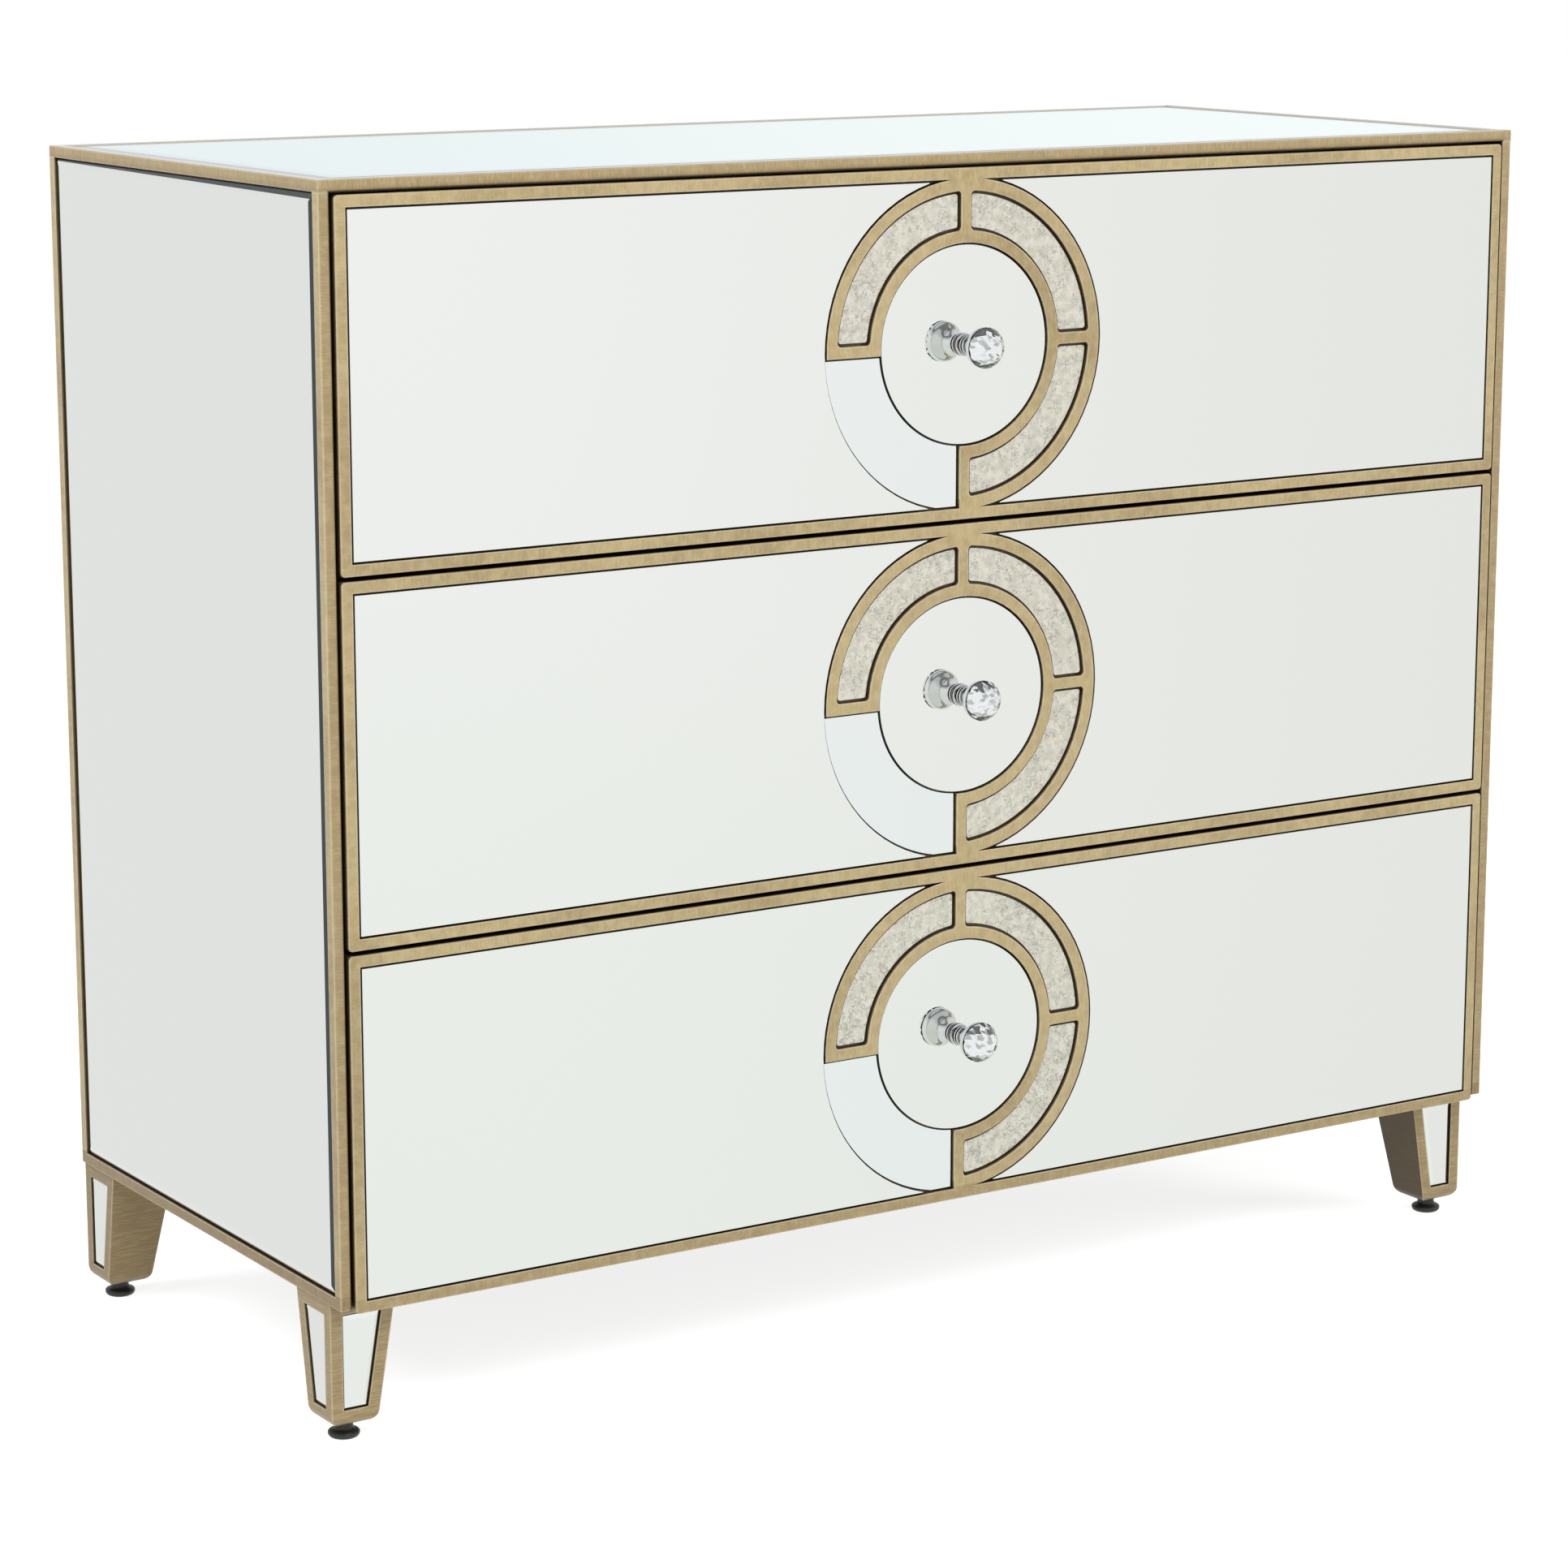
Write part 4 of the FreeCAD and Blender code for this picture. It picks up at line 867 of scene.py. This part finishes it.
class CHEST_OT_silver_mirrors(Operator):
    """Silver the mirrors of the top, sides, fronts and legs"""
    bl_idname = "chest.silver_mirrors"
    bl_label = "Silver Mirrors"

    def execute(self, context):
        glass = context.scene.chest_glass

        def top_tone(start):
            """Painted reflection: greyer in a border, and more so on the bevel that tilts away."""
            x, y, _ = surface_place(start).parts()
            low, high = TOP_GLASS
            ends = abs(x) > high.x - glass.border
            front = y < low.y + glass.border
            back = y > high.y - glass.border
            tone = ends.either(front).either(back).blend(glass.top_silver, glass.top_border_reflection)
            bevel = surface_normal(start).parts()[2] < DEAD_LEVEL
            return bevel.blend(tone, glass.top_bevel_reflection)

        def side_tone(start):
            """Painted reflection: dark on the front bevel, and under the upper edge in a line that narrows to
            the back.
            """
            _, forward, up = surface_normal(start).parts()
            _, y, z = surface_place(start).parts()
            front, back = SIDE_GLASS_Y
            line = SIDE_GLASS_Z[1] - glass.line_width + (y - front) * (glass.line_taper / (back - front))
            dark = (forward < -BEVEL_LEAN).either((up > BEVEL_LEAN) * (z > line))
            return dark.blend(glass.silver, glass.side_bevel_reflection)

        top = silvered_glass("top_mirror", glass.edge, top_tone, self.square_to(2))
        dress(top, "top_mirror")
        sides = silvered_glass("side_mirror", glass.edge, side_tone, self.square_to(0))
        dress(sides, *(f"{side}_side_mirror" for side in SIDES))
        legs = silvered_glass("leg_mirror", glass.edge, glass.silver, self.upright)
        dress(legs, "front_leg_mirrors", "back_leg_mirrors")
        panes = silvered_glass("pane_mirror", glass.edge, glass.silver, self.square_to(1))
        dress(panes, *on_drawers("drawer_panes"))
        for drawer in DRAWERS:
            silver = self.ring_tone(drawer, glass)
            ring = silvered_glass(f"{drawer}_ring_mirror", glass.ring_edge, silver, self.square_to(1))
            dress(ring, f"{drawer}_ring_mirrors")
        return {"FINISHED"}

    @staticmethod
    def square_to(axis):
        """A mask of the faces that look squarely along an axis: 0, 1 or 2."""
        return lambda normal: abs(normal.parts()[axis]) > SQUARELY

    @staticmethod
    def upright(normal):
        """The mask of the faces that stand upright or lean a little."""
        return abs(normal.parts()[2]) < LOOKING

    @staticmethod
    def ring_tone(drawer, glass):
        """The silver of one ring's mirrors: that of the disc, and outside it that of the plain quarter."""
        centre = tuple(ring_centre(drawer))

        def tone(start):
            """One silver within the disc's radius, the other beyond it."""
            x, _, z = (surface_place(start) - centre).parts()
            outside = (x * x + z * z) > DISC_RADIUS ** 2
            return outside.blend(glass.silver, glass.quarter_silver)

        return tone


class CHEST_OT_antique_mirrors(Operator):
    """Cloud the mirrors behind the ring's windows"""
    bl_idname = "chest.antique_mirrors"
    bl_label = "Antique Mirrors"

    def execute(self, context):
        dress(antiqued_glass(context.scene.chest_glass), *on_drawers("antique_segments"))
        return {"FINISHED"}


class CHEST_OT_make_knobs(Operator):
    """Cut the crystal knobs and plate their bases"""
    bl_idname = "chest.make_knobs"
    bl_label = "Make Knobs"

    def execute(self, context):
        knob = context.scene.chest_knob
        crystal = clear_crystal(knob)
        chrome = chrome_plate(knob)
        for drawer in DRAWERS:
            body = f"{drawer}_drawer"
            node = f"{drawer}_knob_crystal"
            mesh = crystal_mesh(node, knob.sides)
            new_piece(f"{drawer}_cut_crystal", mesh, crystal, body, [node])
            base_node = f"{drawer}_knob_base"
            base_mesh = knob_base_mesh(base_node, node)
            base = new_piece(f"{drawer}_cupped_base", base_mesh, chrome, body, [base_node])
            base.data.shade_smooth()
            base.data.set_sharp_from_angle(angle=KNOB_SHARP_ANGLE)
        return {"FINISHED"}


class CHEST_OT_finish_boards(Operator):
    """Finish the drawer boxes, dowels, back, bottom and rails"""
    bl_idname = "chest.finish_boards"
    bl_label = "Finish Boards"

    def execute(self, context):
        boards = context.scene.chest_boards
        dress(birch_board("birch_dowels", boards, 0), "carcass_dowels")
        for piece, along in (("ends", 0), ("bottom", 0), ("sides", 1)):
            birch = birch_board(f"birch_{piece}", boards, along)
            dress(birch, *on_drawers(f"box_{piece}"))
        dress(dark_board(boards), "back_panel", "bottom_panel", "lower_rail", "upper_rail")
        return {"FINISHED"}


class CHEST_OT_plate_steel(Operator):
    """Plate the runners, screws and bolts"""
    bl_idname = "chest.plate_steel"
    bl_label = "Plate Steel"

    def execute(self, context):
        steel = zinc_plate(context.scene.chest_boards)
        dress(steel, "cabinet_runners", "back_screws", "leg_bolts")
        for kind in ("intermediate_runners", "drawer_runners", "drawer_screws"):
            dress(steel, *on_drawers(kind))
        return {"FINISHED"}


class CHEST_OT_make_feet(Operator):
    """Mould the levelling feet"""
    bl_idname = "chest.make_feet"
    bl_label = "Make Feet"

    def execute(self, context):
        plastic = black_plastic(context.scene.chest_boards)
        for corner in CORNERS:
            node = f"{corner}_foot"
            name = f"{corner}_levelling_foot"
            body = f"{corner}_leveller"
            foot = new_piece(name, foot_mesh(node), plastic, body, [node])
            foot.data.shade_smooth()
        return {"FINISHED"}


# Tones of the floor and the studio

WHITE = (1, 1, 1)
FLOOR_PLAIN = (0.8, 0.8, 0.8)
FLOOR_SHADED = (0.6, 0.6, 0.6)
FLOOR_GLOW = 0.8
LOW_FRONT = (0.93, 0.962, 0.932)
RIGHT_FRONT = (0.88, 0.875, 0.855)
LEFT_BACK = (0.862, 0.866, 0.864)
FAR_WALL_LEFT = (0.853, 0.912, 0.912)
FAR_WALL_RIGHT = (0.956, 1, 1)
CEILING = (0.72, 0.73, 0.78)
HIGH_BAND = (0.26, 0.265, 0.265)
CRYSTAL_DARK = (0.1, 0.108, 0.11)


class CHEST_OT_set_stage(Operator):
    """Set the white floor, the studio's light and the camera"""
    bl_idname = "chest.set_stage"
    bl_label = "Set Stage"

    def execute(self, context):
        studio = context.scene.chest_studio
        self.lay_floor(context, studio)
        self.light_world(context, studio)
        self.hang_lamps(context, studio)
        self.place_camera(context, studio)
        context.scene.view_settings.view_transform = "Standard"
        return {"FINISHED"}

    @staticmethod
    def lay_floor(context, studio):
        """A white floor that keeps the chest's shadow; polished faces see the studio instead of it."""
        material, start = new_finish("white_floor")
        seen = start.add("ShaderNodeLightPath", result="Is Camera Ray")
        plain = start.add("ShaderNodeBsdfDiffuse", sockets={"Color": rgba(FLOOR_PLAIN)})
        shaded = start.add("ShaderNodeBsdfDiffuse", sockets={"Color": rgba(FLOOR_SHADED)})
        glow = start.add("ShaderNodeEmission", sockets={"Strength": FLOOR_GLOW})
        white = start.add("ShaderNodeAddShader", sockets={0: shaded, 1: glow})
        surface = start.add("ShaderNodeMixShader", sockets={0: seen, 1: plain, 2: white})
        start.add("ShaderNodeOutputMaterial", sockets={"Surface": surface})
        mesh = bmesh.new()
        bmesh.ops.create_grid(mesh, x_segments=1, y_segments=1, size=studio.floor_size / 2)
        data = bpy.data.meshes.new("floor")
        mesh.to_mesh(data)
        mesh.free()
        data.materials.append(material)
        floor = bpy.data.objects.new("floor", data)
        floor.visible_glossy = False
        floor.visible_transmission = False
        context.scene.collection.objects.link(floor)

    @staticmethod
    def studio_tone(start):
        """What polished faces see: white walls and floor, greyer to the back left, with a dark high band."""
        x, y, z = start.add("ShaderNodeTexCoord", result="Generated").parts()
        back = y.rise(-0.1, 0.2)
        front = 1 - back
        left = (-x).rise(0.02, 0.3)
        tone = (front * (-z).rise(0.05, 0.35)).blend(WHITE, LOW_FRONT)
        tone = (0.75 * front * x.rise(0.45, 0.7)).blend(tone, RIGHT_FRONT)
        tone = (left * back).blend(tone, LEFT_BACK)
        far_wall = x.rise(0.4, 0.68).blend(FAR_WALL_LEFT, FAR_WALL_RIGHT)
        tone = (back * (1 - left) * z.rise(0, 0.03)).blend(tone, far_wall)
        overhead = (back * z.rise(0.1, 0.25)).either(z.rise(0.35, 0.6))
        tone = overhead.blend(tone, CEILING)
        band = z.rise(0.66, 0.72) * (1 - z.rise(0.84, 0.9))
        return band.blend(tone, HIGH_BAND)

    @staticmethod
    def sparkle_tone(start):
        """What the crystals let through: white, with dark patches above and below and a few between."""
        way = start.add("ShaderNodeTexCoord", result="Generated")
        patch = way.noise([0.2] * 3, detail=1.0).rise(0.44, 0.5)
        glint = way.noise([0.13] * 3, detail=0.0).rise(0.6, 0.65)
        dark = (abs(way.parts()[2]).rise(0.4, 0.48) * patch).either(0.55 * glint)
        return dark.blend(WHITE, CRYSTAL_DARK)

    def light_world(self, context, studio):
        """White behind the chest, the studio in its mirrors and crystals, and an even light on all else."""
        world = bpy.data.worlds.new("studio")
        world.use_nodes = True
        world.node_tree.nodes.clear()
        start = Signal(world.node_tree)
        path = start.add("ShaderNodeLightPath").output.node
        camera = Signal(world.node_tree, path.outputs["Is Camera Ray"])
        glossy = Signal(world.node_tree, path.outputs["Is Glossy Ray"])
        through = Signal(world.node_tree, path.outputs["Is Transmission Ray"])
        even = start.add("ShaderNodeBackground", sockets={"Color": rgba(WHITE), "Strength": studio.ambient})
        studio_seen = through.blend(self.studio_tone(start), self.sparkle_tone(start))
        tone = camera.blend(studio_seen, WHITE)
        shown = start.add("ShaderNodeBackground", sockets={"Color": tone, "Strength": 1.0})
        seen = camera.either(glossy).either(through)
        light = start.add("ShaderNodeMixShader", sockets={0: seen, 1: even, 2: shown})
        start.add("ShaderNodeOutputWorld", sockets={"Surface": light})
        context.scene.world = world

    @staticmethod
    def hang_lamps(context, studio):
        """Three soft lamps that the mirrors don't show."""
        target = Vector((0, 0, 0.45))
        lamps = (
            ("key", (-1.2, -2.3, 2.7), studio.key_power),
            ("fill", (2.8, -2.4, 1.6), studio.fill_power),
            ("side", (-2.2, 0.3, 2.3), studio.side_power),
        )
        for name, place, watts in lamps:
            data = bpy.data.lights.new(f"{name}_lamp", "AREA")
            data.energy = watts
            data.size = studio.lamp_size
            lamp = bpy.data.objects.new(f"{name}_lamp", data)
            lamp.location = place
            lamp.rotation_euler = (target - Vector(place)).to_track_quat("-Z", "Y").to_euler()
            lamp.visible_glossy = False
            lamp.visible_transmission = False
            lamp.visible_camera = False
            context.scene.collection.objects.link(lamp)

    @staticmethod
    def place_camera(context, studio):
        """A long lens before the chest's left corner, a little above its top."""
        data = bpy.data.cameras.new("camera")
        data.lens = studio.lens
        camera = bpy.data.objects.new("camera", data)
        camera.location = studio.place
        camera.rotation_euler = (math.pi / 2 - studio.pitch, 0, -studio.yaw)
        context.scene.collection.objects.link(camera)
        context.scene.camera = camera


# Sidebar and registration

SETTINGS = {
    "chest_paint": PaintSettings,
    "chest_glass": GlassSettings,
    "chest_knob": KnobSettings,
    "chest_boards": BoardSettings,
    "chest_studio": StudioSettings,
}
OPERATORS = (
    CHEST_OT_paint_boards, CHEST_OT_silver_mirrors, CHEST_OT_antique_mirrors, CHEST_OT_make_knobs,
    CHEST_OT_finish_boards, CHEST_OT_plate_steel, CHEST_OT_make_feet, CHEST_OT_set_stage,
)


class CHEST_PT_sidebar(Panel):
    """Settings and steps of the mirrored chest"""
    bl_idname = "CHEST_PT_sidebar"
    bl_label = "Mirrored Chest"
    bl_space_type = "VIEW_3D"
    bl_region_type = "UI"
    bl_category = "Chest"

    def draw(self, context):
        for operator in OPERATORS:
            self.layout.operator(operator.bl_idname)
        for pointer, group in SETTINGS.items():
            box = self.layout.box()
            box.label(text=group.__doc__)
            for setting in group.__annotations__:
                box.prop(getattr(context.scene, pointer), setting)


def register():
    """Register the settings, steps and sidebar, and give each scene its settings."""
    for group in (*SETTINGS.values(), *OPERATORS, CHEST_PT_sidebar):
        bpy.utils.register_class(group)
    for pointer, group in SETTINGS.items():
        setattr(bpy.types.Scene, pointer, PointerProperty(type=group))


def unregister():
    """Take back what register did, in the other order."""
    for pointer in SETTINGS:
        delattr(bpy.types.Scene, pointer)
    for group in (CHEST_PT_sidebar, *reversed(OPERATORS), *reversed(SETTINGS.values())):
        bpy.utils.unregister_class(group)


def main():
    """Dress the chest and set the stage."""
    register()
    bpy.ops.chest.paint_boards()
    bpy.ops.chest.silver_mirrors()
    bpy.ops.chest.antique_mirrors()
    bpy.ops.chest.make_knobs()
    bpy.ops.chest.finish_boards()
    bpy.ops.chest.plate_steel()
    bpy.ops.chest.make_feet()
    bpy.ops.chest.set_stage()


if __name__ == "__main__":
    main()
